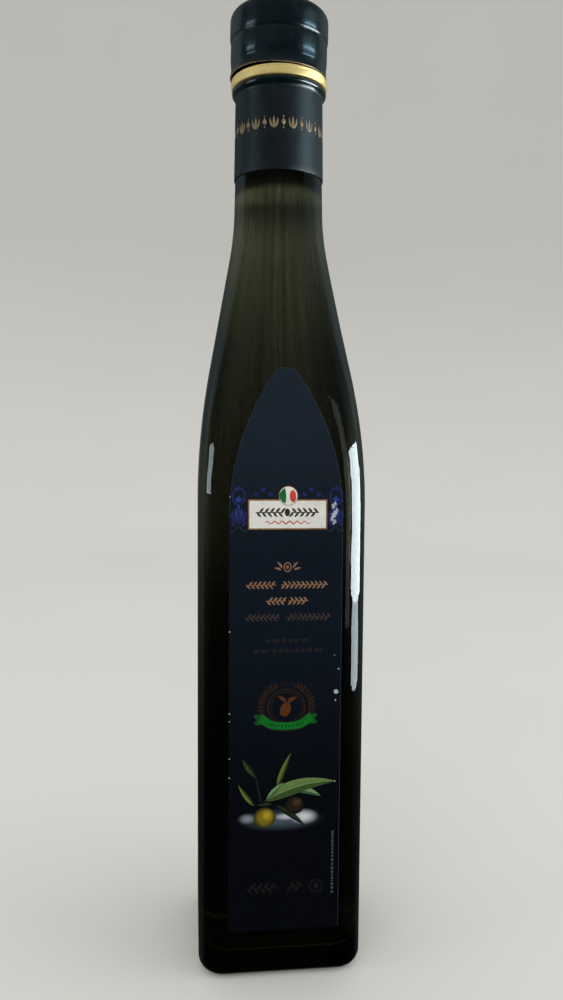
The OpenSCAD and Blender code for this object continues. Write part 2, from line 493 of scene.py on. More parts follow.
@dataclass(frozen=True)
class MetalFinish(Finish):
    """Satin metal foil, with fine lines around it and brighter rubbed places."""

    colour: Colour
    deep: Colour
    clean: float
    marked: float
    lines: float
    metallic: float

    def paint(self, shader: Shader, surface: bpy.types.Node, groups: EffectGroups) -> None:
        """Adds two near tones and the fine lines.

        Args:
            shader: The material's tree.
            surface: Its Principled BSDF.
            groups: The shared effects.
        """
        marks = groups.place(shader, groups.handling, Scale=160.0, Clean=self.clean, Marked=self.marked)
        turned = groups.place(shader, groups.grain, Scale=260.0, Stretch=14.0, Strength=0.6)
        shader.link(shader.mix(marks.outputs["Mask"], self.colour, self.deep), surface.inputs["Base Color"])
        shader.link(marks.outputs["Roughness"], surface.inputs["Roughness"])
        shader.bump(turned.outputs["Height"], surface, self.lines, 0.0002)
        set_inputs(surface, Metallic=self.metallic)


@dataclass(frozen=True)
class Glow:
    """One soft light field printed on the paper, in millimetres on the front face."""

    x: float
    z: float
    width: float
    height: float
    colour: Colour
    share: float


@dataclass(frozen=True)
class PaperFinish(Finish):
    """Navy printed paper with painted light and shade: lighter at the top and darker towards the bottom, as
    light falls from above, with soft light fields printed on it.
    """

    # Painted light and shade: the navy is lighter at the top and darker down the label.
    top: Colour
    middle: Colour
    low: Colour
    z_top: float
    z_middle: float
    z_low: float
    glows: tuple[Glow, ...]

    def paint(self, shader: Shader, surface: bpy.types.Node, groups: EffectGroups) -> None:
        """Adds the navy with its painted light at the top and painted shade towards the bottom, the fibres
        and the printed light fields.

        Args:
            shader: The material's tree.
            surface: Its Principled BSDF.
            groups: The shared effects.
        """
        # Painted light and shade: the base colour goes from the lit top to the shaded bottom by height.
        height = shader.place().outputs["Z"]
        lower = shader.mix(shader.ramp(height, self.z_low * MM, self.z_middle * MM), self.low, self.middle)
        colour = shader.mix(shader.ramp(height, self.z_middle * MM, self.z_top * MM), lower, self.top)
        fibre = groups.place(shader, groups.grain, Scale=1100.0, Stretch=1.0, Strength=0.9)
        colour = shader.shaded(colour, fibre.outputs["Tone"])
        for glow in self.glows:
            spot = groups.place(shader, groups.spot, X=glow.x * MM, Z=glow.z * MM,
                                Width=glow.width * MM, Height=glow.height * MM)
            share = shader.math("MULTIPLY", spot.outputs["Mask"], glow.share)
            colour = shader.mix(share, colour, glow.colour)
        shader.link(colour, surface.inputs["Base Color"])
        marks = groups.place(shader, groups.handling, Scale=90.0, Clean=0.50, Marked=0.58)
        shader.link(marks.outputs["Roughness"], surface.inputs["Roughness"])
        shader.bump(fibre.outputs["Height"], surface, 0.12, 0.0001)
        set_inputs(surface, Specular_IOR_Level=0.14)


@dataclass(frozen=True)
class InkFinish(Finish):
    """One printed colour: two near tones, fibres showing through, and a little wear."""

    colour: Colour
    second: Colour
    roughness: float = 0.45
    metallic: float = 0.0
    grain: float = 0.6

    def paint(self, shader: Shader, surface: bpy.types.Node, groups: EffectGroups) -> None:
        """Adds the two tones and the fibres.

        Args:
            shader: The material's tree.
            surface: Its Principled BSDF.
            groups: The shared effects.
        """
        blotch = groups.place(shader, groups.handling, Scale=420.0, Clean=self.roughness,
                              Marked=min(1.0, self.roughness + 0.15))
        fibre = groups.place(shader, groups.grain, Scale=1500.0, Stretch=1.0, Strength=self.grain)
        tone = shader.mix(blotch.outputs["Mask"], self.colour, self.second)
        shader.link(shader.shaded(tone, fibre.outputs["Tone"]), surface.inputs["Base Color"])
        shader.link(blotch.outputs["Roughness"], surface.inputs["Roughness"])
        set_inputs(surface, Metallic=self.metallic, Specular_IOR_Level=PRINT_SPECULAR)


@dataclass(frozen=True)
class LeafFinish(Finish):
    """A printed leaf: a pale middle rib, and one half lighter than the other."""

    light: Colour
    dark: Colour
    rib: Colour

    def paint(self, shader: Shader, surface: bpy.types.Node, groups: EffectGroups) -> None:
        """Adds the leaf's tones, which read along and across the leaf from its UV map.

        Args:
            shader: The material's tree.
            surface: Its Principled BSDF.
            groups: The shared effects.
        """
        place = shader.add("SeparateXYZ", Vector=shader.add("UVMap", {"uv_map": "UVMap"}).outputs[0])
        across = place.outputs["Y"]
        halves = shader.mix(shader.ramp(across, 0.35, 0.75), self.dark, self.light)
        away = shader.math("ABSOLUTE", shader.math("SUBTRACT", across, 0.5))
        ribbed = shader.mix(shader.ramp(away, 0.09, 0.01), halves, self.rib)
        tipped = shader.mix(shader.ramp(place.outputs["X"], 0.25, 0.0, 0.0, 0.7), ribbed, self.dark)
        fibre = groups.place(shader, groups.grain, Scale=1300.0, Stretch=1.0, Strength=0.7)
        shader.link(shader.shaded(tipped, fibre.outputs["Tone"]), surface.inputs["Base Color"])
        set_inputs(surface, Roughness=PRINT_ROUGHNESS, Specular_IOR_Level=PRINT_SPECULAR)


@dataclass(frozen=True)
class FruitFinish(Finish):
    """A printed olive: a lit side, a body colour and a shaded rim."""

    lit: Colour
    body: Colour
    shade: Colour
    lit_at: Point

    def paint(self, shader: Shader, surface: bpy.types.Node, groups: EffectGroups) -> None:
        """Adds the olive's tones, which read the place on the fruit from its UV map.

        Args:
            shader: The material's tree.
            surface: Its Principled BSDF.
            groups: The shared effects.
        """
        flat = shader.add("UVMap", {"uv_map": "UVMap"}).outputs[0]
        away = []
        for centre in ((0.5, 0.5), self.lit_at):
            off = shader.add("VectorMath", {"operation": "DISTANCE"}, Vector=flat)
            off.inputs[1].default_value = (*centre, 0.0)
            away.append(off.outputs["Value"])
        skin = groups.place(shader, groups.grain, Scale=500.0, Stretch=1.0, Strength=0.8)
        rim = shader.mix(shader.ramp(away[0], 0.26, 0.5), self.body, self.shade)
        lit = shader.mix(shader.ramp(away[1], 0.34, 0.02), rim, self.lit)
        shader.link(shader.shaded(lit, skin.outputs["Tone"]), surface.inputs["Base Color"])
        set_inputs(surface, Roughness=PRINT_ROUGHNESS, Specular_IOR_Level=PRINT_SPECULAR)


# The glass's second colour (0.70, 0.72, 0.66) is painted light and shade: darker streaks that stand for the
# surroundings seen through its shoulder and neck.
GLASS = ClearFinish("dark_olive_glass", (0.99, 0.99, 0.97), (0.70, 0.72, 0.66), 1.52, (0.50, 0.45, 0.24),
                    185.0, marked=0.04, ripple=0.25)
OIL = ClearFinish("green_gold_oil", (1.0, 1.0, 0.99), (1.0, 1.0, 0.99), 1.47, (0.44, 0.44, 0.34), 110.0)
CAP_LACQUER = LacquerFinish("midnight_lacquer", (0.0015, 0.0065, 0.0095), (0.0025, 0.009, 0.014),
                            0.22, 0.30, 0.4)
SLEEVE_LACQUER = LacquerFinish("satin_midnight_lacquer", (0.0018, 0.0072, 0.0105), (0.003, 0.0105, 0.0165),
                               0.40, 0.50, 0.0)
GOLD = MetalFinish("pale_gold", (0.80, 0.62, 0.24), (0.72, 0.55, 0.21), 0.38, 0.48, 0.08, 0.3)
RAW_EDGE = MetalFinish("raw_metal_edge", (0.40, 0.31, 0.16), (0.03, 0.03, 0.03), 0.35, 0.5, 0.05, 0.4)
# The three navies are painted light and shade: a lit top, a middle and a shaded bottom. The glows are print.
PAPER = PaperFinish(
    "navy_paper_painted_shade", (0.0100, 0.0190, 0.0320), (0.0045, 0.0100, 0.0200), (0.0016, 0.0028, 0.0060),
    190.0, 135.0, 50.0,
    (Glow(-0.8, 54.2, 15.6, 4.3, (0.075, 0.11, 0.135), 0.75),
     Glow(6.9, 55.0, 5.4, 3.0, (0.58, 0.64, 0.67), 1.0),
     Glow(1.2, 55.2, 5.0, 1.5, (0.50, 0.56, 0.60), 0.9),
     Glow(-11.7, 54.9, 3.4, 2.1, (0.24, 0.30, 0.34), 0.8)))
CREAM = InkFinish("cream_ink", (0.80, 0.79, 0.74), (0.72, 0.70, 0.64), 0.42, 0.0, 0.2)
COPPER = InkFinish("copper_ink", (0.33, 0.175, 0.10), (0.23, 0.12, 0.07), 0.42, 0.2, 0.7)
BORDER = InkFinish("border_copper_ink", (0.34, 0.16, 0.07), (0.20, 0.10, 0.055), 0.42, 0.2, 0.8)
DIM_COPPER = InkFinish("dim_copper_ink", (0.058, 0.045, 0.042), (0.040, 0.032, 0.031), 0.5, 0.2, 0.7)
FAINT_COPPER = InkFinish("faint_copper_ink", (0.0232, 0.0188, 0.0188), (0.0159, 0.0145, 0.0159),
                         0.5, 0.1, 0.7)
BROWN_COPPER = InkFinish("brown_copper_ink", (0.046, 0.022, 0.013), (0.032, 0.017, 0.011), 0.45, 0.25, 0.6)
BLUE = InkFinish("indigo_ink", (0.020, 0.022, 0.130), (0.014, 0.017, 0.090), 0.5, 0.0, 0.8)
STEEL_BLUE = InkFinish("steel_blue_ink", (0.018, 0.055, 0.240), (0.015, 0.040, 0.160), 0.5, 0.0, 0.8)
DARK_GREY = InkFinish("dark_grey_ink", (0.032, 0.030, 0.027), (0.055, 0.05, 0.045), 0.5, 0.0, 0.4)
CORAL_RED = InkFinish("coral_red_ink", (0.60, 0.065, 0.050), (0.50, 0.050, 0.042), 0.45, 0.0, 0.3)
CORAL = InkFinish("coral_ink", (0.46, 0.09, 0.075), (0.52, 0.17, 0.14), 0.5, 0.0, 0.4)
RIBBON = InkFinish("ribbon_green_ink", (0.002, 0.165, 0.014), (0.002, 0.125, 0.011), 0.45, 0.0, 0.5)
EMBLEM_COPPER = InkFinish("orange_copper_ink", (0.125, 0.040, 0.011), (0.090, 0.032, 0.011), 0.45, 0.2, 0.6)
RIBBON_FOLD = InkFinish("ribbon_fold_ink", (0.002, 0.090, 0.010), (0.002, 0.065, 0.008), 0.5, 0.0, 0.5)
RIBBON_DARK = InkFinish("ribbon_seed_ink", (0.006, 0.036, 0.008), (0.005, 0.026, 0.007), 0.5, 0.0, 0.5)
SEAL_GREEN = InkFinish("seal_green_ink", (0.006, 0.16, 0.032), (0.005, 0.13, 0.026), 0.45, 0.0, 0.3)
SCUFF = InkFinish("bare_paper", (0.42, 0.47, 0.53), (0.30, 0.34, 0.40), 0.7, 0.0, 0.8)
FINE_GREY = InkFinish("fine_grey_ink", (0.055, 0.075, 0.085), (0.030, 0.042, 0.050), 0.55, 0.0, 1.0)
FOOT_COPPER = InkFinish("foot_copper_ink", (0.0155, 0.0115, 0.0105), (0.011, 0.009, 0.009), 0.5, 0.15, 0.7)
MARK_GOLD = InkFinish("mark_gold_ink", (0.34, 0.25, 0.14), (0.26, 0.18, 0.10), 0.4, 0.4, 0.4)
# Partly painted highlight: the pale cut-edge colour, used only where light falls on the edge.
LIT_EDGE = InkFinish("lit_cut_paper_edge", (0.040, 0.052, 0.064), (0.022, 0.030, 0.040), 0.6, 0.0, 0.9)
BIG_LEAF = LeafFinish("big_leaf_print", (0.125, 0.215, 0.060), (0.038, 0.085, 0.018), (0.17, 0.26, 0.085))
PALE_LEAF = LeafFinish("pale_leaf_print", (0.16, 0.30, 0.12), (0.040, 0.110, 0.040), (0.22, 0.36, 0.18))
SLIM_LEAF = LeafFinish("slim_leaf_print", (0.110, 0.170, 0.022), (0.030, 0.060, 0.010), (0.17, 0.22, 0.04))
DIM_LEAF = LeafFinish("dim_leaf_print", (0.026, 0.060, 0.018), (0.010, 0.026, 0.008), (0.045, 0.080, 0.028))
DARK_LEAF = LeafFinish("dark_leaf_print", (0.018, 0.034, 0.016), (0.008, 0.014, 0.007), (0.030, 0.045, 0.022))
YELLOW_OLIVE = FruitFinish("yellow_olive_print", (0.42, 0.30, 0.020), (0.20, 0.14, 0.007),
                           (0.040, 0.038, 0.005), (0.60, 0.62))
DARK_OLIVE = FruitFinish("dark_olive_print", (0.062, 0.038, 0.016), (0.020, 0.014, 0.007),
                         (0.006, 0.008, 0.005), (0.62, 0.68))


# ---------------------------------------------------------------- mesh tools


@dataclass
class Workshop:
    """Turns finished bmeshes into pieces that ride on the part."""

    groups: EffectGroups
    body: str = "root"

    def __post_init__(self) -> None:
        """Starts the store of materials, which are made when first used."""
        self.materials: dict[str, bpy.types.Material] = {}

    def dress(self, finish: Finish) -> bpy.types.Material:
        """Gives a finish's material.

        Args:
            finish: One of the finishes.

        Returns:
            Its material, made once.
        """
        if finish.name not in self.materials:
            self.materials[finish.name] = finish.material(self.groups)
        return self.materials[finish.name]

    def piece(self, name: str, mesh: bmesh.types.BMesh, finish: Finish, slot: Slot,
              replaced: Optional[str] = None, smooth: bool = True) -> bpy.types.Object:
        """Makes an object from a bmesh in metres, dresses it and ties it to the part.

        Args:
            name: The piece's name.
            mesh: Its shape, which is freed.
            finish: Its finish.
            slot: The record's slot that it takes its finish from; not used.
            replaced: The CAD node that it stands for, if any.
            smooth: Whether its faces are shaded smooth.

        Returns:
            The new object.
        """
        data = bpy.data.meshes.new(name)
        for face in mesh.faces:
            face.smooth = smooth
        mesh.to_mesh(data)
        mesh.free()
        data.materials.append(self.dress(finish))
        made = bpy.data.objects.new(name, data)
        bpy.context.scene.collection.objects.link(made)
        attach(made, self.body)
        if replaced:
            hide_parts(replaced)
        LOG.info("%s: %d faces", name, len(data.polygons))
        return made


def lathe(profile: Sequence[Point], steps: int = 160, unit: float = MM,
          closed: bool = True) -> bmesh.types.BMesh:
    """Spins an outline round the Z axis.

    Args:
        profile: The outline's radius and height points.
        steps: Faces round the full turn.
        unit: Metres in one unit of the outline.
        closed: Whether its last point joins its first.

    Returns:
        The turned shape, in metres.
    """
    mesh = bmesh.new()
    chain = [mesh.verts.new((max(r, 0.0) * unit, 0.0, z * unit)) for r, z in profile]
    ends = chain[1:] + chain[:1] if closed else chain[1:]
    edges = [mesh.edges.new(pair) for pair in zip(chain, ends)]
    bmesh.ops.spin(mesh, geom=chain + edges, cent=(0, 0, 0), axis=(0, 0, 1), angle=math.tau,
                   steps=steps, use_merge=True)
    bmesh.ops.remove_doubles(mesh, verts=mesh.verts, dist=1e-4 * unit)
    bmesh.ops.recalc_face_normals(mesh, faces=mesh.faces)
    return mesh


def arc(centre: Point, radius: float, start: float, end: float, steps: int = 8) -> list[Point]:
    """Points of an arc.

    Args:
        centre: Its centre.
        radius: Its radius.
        start: First angle, in degrees.
        end: Last angle, in degrees.
        steps: Steps between them.

    Returns:
        The points, first and last included.
    """
    turns = (math.radians(start + (end - start) * i / steps) for i in range(steps + 1))
    return [(centre[0] + radius * math.cos(t), centre[1] + radius * math.sin(t)) for t in turns]


# ---------------------------------------------------------------- flat drawing
# Flat shapes lie on X and Z in millimetres. Y is 0 on their outer side and 1 on their inner side.

LEAF_LEAN = 48.0  # degrees that a garland's leaves stand off its stem
LEAF_SHARE = 0.36  # a garland leaf's width as a share of its length


def add_disc(mesh: bmesh.types.BMesh, centre: Point, radii: Point, segments: int = 32,
             turn: float = 0.0) -> None:
    """Adds a filled oval.

    Args:
        mesh: Drawing to add to.
        centre: Its middle.
        radii: Its half sizes along X and Z, before it is turned.
        segments: Points round it.
        turn: Its turn, in degrees.
    """
    cos, sin = math.cos(math.radians(turn)), math.sin(math.radians(turn))
    for vert in bmesh.ops.create_circle(mesh, cap_ends=True, segments=segments, radius=1.0)["verts"]:
        x, z = vert.co.x * radii[0], vert.co.y * radii[1]
        vert.co = (centre[0] + x * cos - z * sin, 0.0, centre[1] + x * sin + z * cos)


def add_pill(mesh: bmesh.types.BMesh, start: Point, end: Point, height: float, segments: int = 12) -> None:
    """Adds a bar with round ends.

    Args:
        mesh: Drawing to add to.
        start: One end of it.
        end: The other end.
        height: Its width across.
        segments: Points round it.
    """
    run = Vector((end[0] - start[0], end[1] - start[1]))
    along = run.normalized()
    half = max(run.length / 2 - height / 2, 0.0)
    for vert in bmesh.ops.create_circle(mesh, cap_ends=True, segments=segments, radius=height / 2)["verts"]:
        flat = Vector((vert.co.x + math.copysign(half, vert.co.x), vert.co.y))
        vert.co = ((start[0] + end[0]) / 2 + flat.x * along.x - flat.y * along.y, 0.0,
                   (start[1] + end[1]) / 2 + flat.x * along.y + flat.y * along.x)


def add_ring(mesh: bmesh.types.BMesh, centre: Point, radii: Point, width: float, segments: int = 64) -> None:
    """Adds an oval ring.

    Args:
        mesh: Drawing to add to.
        centre: Its middle.
        radii: Outer half sizes along X and Z.
        width: Width of its band.
        segments: Points round it.
    """
    loops = []
    for inward in (0.0, width):
        made = bmesh.ops.create_circle(mesh, cap_ends=False, segments=segments, radius=1.0)["verts"]
        for vert in made:
            vert.co = (centre[0] + vert.co.x * (radii[0] - inward), 0.0,
                       centre[1] + vert.co.y * (radii[1] - inward))
        loops += {edge for vert in made for edge in vert.link_edges}
    bmesh.ops.bridge_loops(mesh, edges=loops)


def add_panel(mesh: bmesh.types.BMesh, low: Point, high: Point, corner: float, segments: int = 5) -> None:
    """Adds a rectangle with rounded corners.

    Args:
        mesh: Drawing to add to.
        low: Its lower left corner.
        high: Its upper right corner.
        corner: Radius of its corners.
        segments: Steps of each corner.
    """
    made = bmesh.ops.create_grid(mesh, x_segments=1, y_segments=1, size=0.5)["verts"]
    for vert in made:
        vert.co = (low[0] if vert.co.x < 0 else high[0], 0.0, low[1] if vert.co.y < 0 else high[1])
    bmesh.ops.bevel(mesh, geom=made, offset=corner, affect="VERTICES", segments=segments, profile=0.5,
                    material=-1)


def smooth_line(points: Sequence[Point], steps: int = 6) -> list[Point]:
    """Draws a smooth line through points.

    Args:
        points: Points that it goes through.
        steps: Steps between two of them.

    Returns:
        The line's points.
    """
    knots = [Vector(points[0]), *map(Vector, points), Vector(points[-1])]
    line = []
    for before, start, end, after in zip(knots, knots[1:], knots[2:], knots[3:]):
        for i in range(steps):
            t = i / steps
            bend = 2 * before - 5 * start + 4 * end - after
            twist = 3 * start - before - 3 * end + after
            line.append(tuple(0.5 * (2 * start + (end - before) * t + bend * t * t + twist * t ** 3)))
    return [*line, tuple(points[-1])]


def add_stroke(mesh: bmesh.types.BMesh, line: Sequence[Point],
               width: Callable[[float], float] | float) -> None:
    """Adds a flat stroke along a line.

    Args:
        mesh: Drawing to add to.
        line: Points of its middle line.
        width: Its width, the same all along or by the share of the way, from 0 to 1.
    """
    last = len(line) - 1
    for vert in bmesh.ops.create_grid(mesh, x_segments=last, y_segments=1, size=1.0)["verts"]:
        share = (vert.co.x + 1) / 2
        i = round(share * last)
        along = (Vector(line[min(i + 1, last)]) - Vector(line[max(i - 1, 0)])).normalized()
        half = math.copysign((width(share) if callable(width) else width) / 2, vert.co.y)
        vert.co = (line[i][0] - along.y * half, 0.0, line[i][1] + along.x * half)


def add_leaf(mesh: bmesh.types.BMesh, tip: Point, base: Point, width: float, bend: float = 0.0,
             steps: int = 14, full: float = 0.42) -> None:
    """Adds a leaf, whose UV map goes from its base to its tip and across it.

    Args:
        mesh: Drawing to add to.
        tip: Its tip.
        base: Its base.
        width: Its greatest width.
        bend: How far its middle bows out, to the left on the way to the tip.
        steps: Steps along it.
        full: Share of its length where it is widest.
    """
    start, run = Vector(base), Vector(tip) - Vector(base)
    side = Vector((-run.y, run.x)).normalized()
    layer = mesh.loops.layers.uv.get("UVMap") or mesh.loops.layers.uv.new("UVMap")
    made = bmesh.ops.create_grid(mesh, x_segments=steps, y_segments=4, size=1.0)["verts"]
    faces = {face for vert in made for face in vert.link_faces}
    for face in faces:
        for loop in face.loops:
            loop[layer].uv = ((loop.vert.co.x + 1) / 2, (loop.vert.co.y + 1) / 2)
    power = math.log(0.5) / math.log(full)
    for vert in made:
        along, across = (vert.co.x + 1) / 2, vert.co.y
        swell = max(math.sin(math.pi * min(along, 1.0) ** power), 0.0) ** 0.85
        half = width / 2 * max(swell, 0.02)
        place = start + run * along + side * (bend * 4 * along * (1 - along) + across * half)
        vert.co = (place.x, 0.0, place.y)


def add_garland(mesh: bmesh.types.BMesh, start: Point, end: Point, leaf: float, pitch: float,
                stem: float) -> None:
    """Adds a stem with slanting leaves on both sides of it.

    Args:
        mesh: Drawing to add to.
        start: Where the stem starts.
        end: Where it ends.
        leaf: Length of a leaf.
        pitch: Distance between two leaves on one side.
        stem: Width of the stem.
    """
    run = Vector(end) - Vector(start)
    along = run.normalized()
    add_stroke(mesh, [tuple(Vector(start) + run * t) for t in (0.0, 0.5, 1.0)], stem)
    count = max(int(run.length / pitch), 1)
    for i in range(2 * count):
        side = 1 if i % 2 else -1
        root = Vector(start) + along * (pitch * (i + 0.4) / 2)
        tip = root + Matrix.Rotation(math.radians(LEAF_LEAN * side), 2) @ along * leaf
        add_leaf(mesh, tuple(tip), tuple(root), leaf * LEAF_SHARE, 0.0, 6)


def add_garland_row(mesh: bmesh.types.BMesh, outer: Point, inner: Point, z: float, leaf: float,
                    pitch: float, stem: float) -> None:
    """Adds a row of two garlands that grow towards each other.

    Args:
        mesh: Drawing to add to.
        outer: Where the left and the right garland start.
        inner: Where the left and the right garland end.
        z: Height of the row.
        leaf: Length of a leaf.
        pitch: Distance between two leaves on one side.
        stem: Width of the stems.
    """
    for start, end in zip(outer, inner):
        add_garland(mesh, (start, z), (end, z), leaf, pitch, stem)


def thicken(mesh: bmesh.types.BMesh) -> None:
    """Gives a flat drawing its inner side, so that it becomes a closed sheet.

    Args:
        mesh: Drawing with Y 0, which gets a second side at Y 1.
    """
    bmesh.ops.remove_doubles(mesh, verts=mesh.verts, dist=1e-5)
    made = bmesh.ops.extrude_face_region(mesh, geom=list(mesh.faces), use_keep_orig=True)["geom"]
    for vert in (part for part in made if isinstance(part, bmesh.types.BMVert)):
        vert.co.y = 1.0
    bmesh.ops.recalc_face_normals(mesh, faces=mesh.faces)


def islands(mesh: bmesh.types.BMesh) -> list[list[bmesh.types.BMVert]]:
    """Finds the separate shapes of a drawing.

    Args:
        mesh: The drawing.

    Returns:
        The vertices of each shape.
    """
    seen: set[bmesh.types.BMVert] = set()
    found = []
    for vert in mesh.verts:
        if vert in seen:
            continue
        seen.add(vert)
        shape = [vert]
        for member in shape:
            for other in (edge.other_vert(member) for edge in member.link_edges):
                if other not in seen:
                    seen.add(other)
                    shape.append(other)
        found.append(shape)
    return found


def merge_into(whole: bmesh.types.BMesh, part: bmesh.types.BMesh) -> None:
    """Adds one bmesh to another and frees it.

    Args:
        whole: Shape to add to.
        part: Shape that is added, which is freed.
    """
    keep = bpy.data.meshes.new("part")
    part.to_mesh(keep)
    part.free()
    whole.from_mesh(keep)
    bpy.data.meshes.remove(keep)


# ---------------------------------------------------------------- the bottle's form


@dataclass(frozen=True)
class BottleForm:
    """Outline of the glass: a square body that sweeps into a round neck."""

    body_w: float = 55.0
    corner_r: float = 8.5
    body_h: float = 156.0
    heel_r: float = 4.5
    foot_w: float = 2.5
    punt_h: float = 1.6
    wall_t: float = 3.0
    floor_t: float = 5.5
    shoulder_h: float = 102.0
    shoulder_r: float = 264.0
    sweep_r: float = 104.0
    neck_r: float = 15.0
    inner_corner_min: float = 2.5
    inner_heel_r: float = 6.0

    @property
    def half_w(self) -> float:
        """Half of the body's width."""
        return self.body_w / 2

    @property
    def shoulder_top(self) -> float:
        """Height where the round neck starts."""
        return self.body_h + self.shoulder_h

    def slope(self) -> float:
        """Lean of the straight stretch between the shoulder's two arcs, in radians."""
        arcs, inward = self.shoulder_r + self.sweep_r, self.half_w - self.neck_r
        return (math.asin(arcs / math.hypot(self.shoulder_h, arcs - inward))
                - math.atan2(arcs - inward, self.shoulder_h))

    def outside(self, z: float) -> float:
        """Half width of the glass.

        Args:
            z: Height above the foot.

        Returns:
            The half width across the flats.
        """
        slope, up, down = self.slope(), z - self.body_h, self.shoulder_top - z
        if up <= 0:
            return self.half_w
        if down <= 0:
            return self.neck_r
        if up < self.shoulder_r * math.sin(slope):
            return self.half_w - self.shoulder_r + math.sqrt(self.shoulder_r ** 2 - up ** 2)
        if down < self.sweep_r * math.sin(slope):
            return self.neck_r + self.sweep_r - math.sqrt(self.sweep_r ** 2 - down ** 2)
        start = self.neck_r + self.sweep_r * (1 - math.cos(slope))
        return start + (down - self.sweep_r * math.sin(slope)) * math.tan(slope)

    def corner(self, half: float) -> float:
        """Corner radius of the outside, which grows into the round neck.

        Args:
            half: Half width there.

        Returns:
            The radius.
        """
        share = (half - self.neck_r) / (self.half_w - self.neck_r)
        return half + (self.corner_r - half) * share

    def outer(self, z: float) -> tuple[float, float, float]:
        """Outer level at a height, as half width, corner radius and height."""
        half = self.outside(z)
        return half, min(self.corner(half), half), z

    def inner(self, z: float, wall: float) -> tuple[float, float, float]:
        """Inner level at a height, a wall's thickness in from the outside."""
        half = self.outside(z) - wall
        return half, min(max(self.corner(half + wall) - wall, self.inner_corner_min), half), z

    def shoulder_levels(self, steps: int = 48) -> list[float]:
        """Heights up the shoulder."""
        return [self.body_h + self.shoulder_h * i / steps for i in range(steps + 1)]


Level = tuple[float, float, float]


def reach(half: float, radius: float, turn: float) -> float:
    """Distance from the axis to the outline of a rounded square.

    Args:
        half: Half width across the flats.
        radius: Corner radius.
        turn: Direction, in radians.

    Returns:
        The distance.
    """
    fold = abs((turn + math.pi / 4) % (math.pi / 2) - math.pi / 4)
    flat = half - radius
    if math.tan(fold) * half <= flat:
        return half / math.cos(fold)
    along = flat * (math.cos(fold) + math.sin(fold))
    return along + math.sqrt(max(along ** 2 - 2 * flat ** 2 + radius ** 2, 0.0))


class Loft:
    """A closed skin drawn through rounded-square levels, ring by ring."""

    FLAT_TURNS = (0.0, 7.0, 14.0, 20.5, 26.0, 30.5, 33.3)
    CORNER_STEPS = 9

    def __init__(self, levels: Sequence[Level], corner_start: float) -> None:
        """Draws the skin.

        Args:
            levels: Half width, corner radius and height of each level, in millimetres.
            corner_start: Direction, in degrees from a flat's middle, where the body's corner starts.
        """
        self.turns = self._turns(corner_start)
        self.mesh = bmesh.new()
        made = bmesh.ops.create_circle(self.mesh, cap_ends=True, segments=len(self.turns), radius=MM)
        for vert, turn in zip(made["verts"], self.turns):
            vert.co = self._place(levels[0], turn)
        edges = list(self.mesh.edges)
        for level in levels[1:]:
            grown = bmesh.ops.extrude_edge_only(self.mesh, edges=edges)["geom"]
            edges = [part for part in grown if isinstance(part, bmesh.types.BMEdge)]
            for vert in (part for part in grown if isinstance(part, bmesh.types.BMVert)):
                vert.co = self._place(level, math.atan2(vert.co.y, vert.co.x))
        bmesh.ops.contextual_create(self.mesh, geom=edges)
        bmesh.ops.recalc_face_normals(self.mesh, faces=self.mesh.faces)

    def _turns(self, corner_start: float) -> list[float]:
        """Directions of a ring's points, close together at the corners.

        Args:
            corner_start: Where the body's corner starts, in degrees from a flat's middle.

        Returns:
            The directions, in radians.
        """
        step = (45.0 - corner_start) / self.CORNER_STEPS
        half = [*self.FLAT_TURNS, *(corner_start + step * i for i in range(self.CORNER_STEPS + 1))]
        quarter = half[:-1] + [90.0 - turn for turn in reversed(half[1:])]
        return [math.radians(90 * side + turn) for side in range(4) for turn in quarter]

    @staticmethod
    def _place(level: Level, turn: float) -> Vector:
        """Point of a level in one direction, in metres."""
        away = reach(level[0], level[1], turn) * MM
        return Vector((away * math.cos(turn), away * math.sin(turn), level[2] * MM))


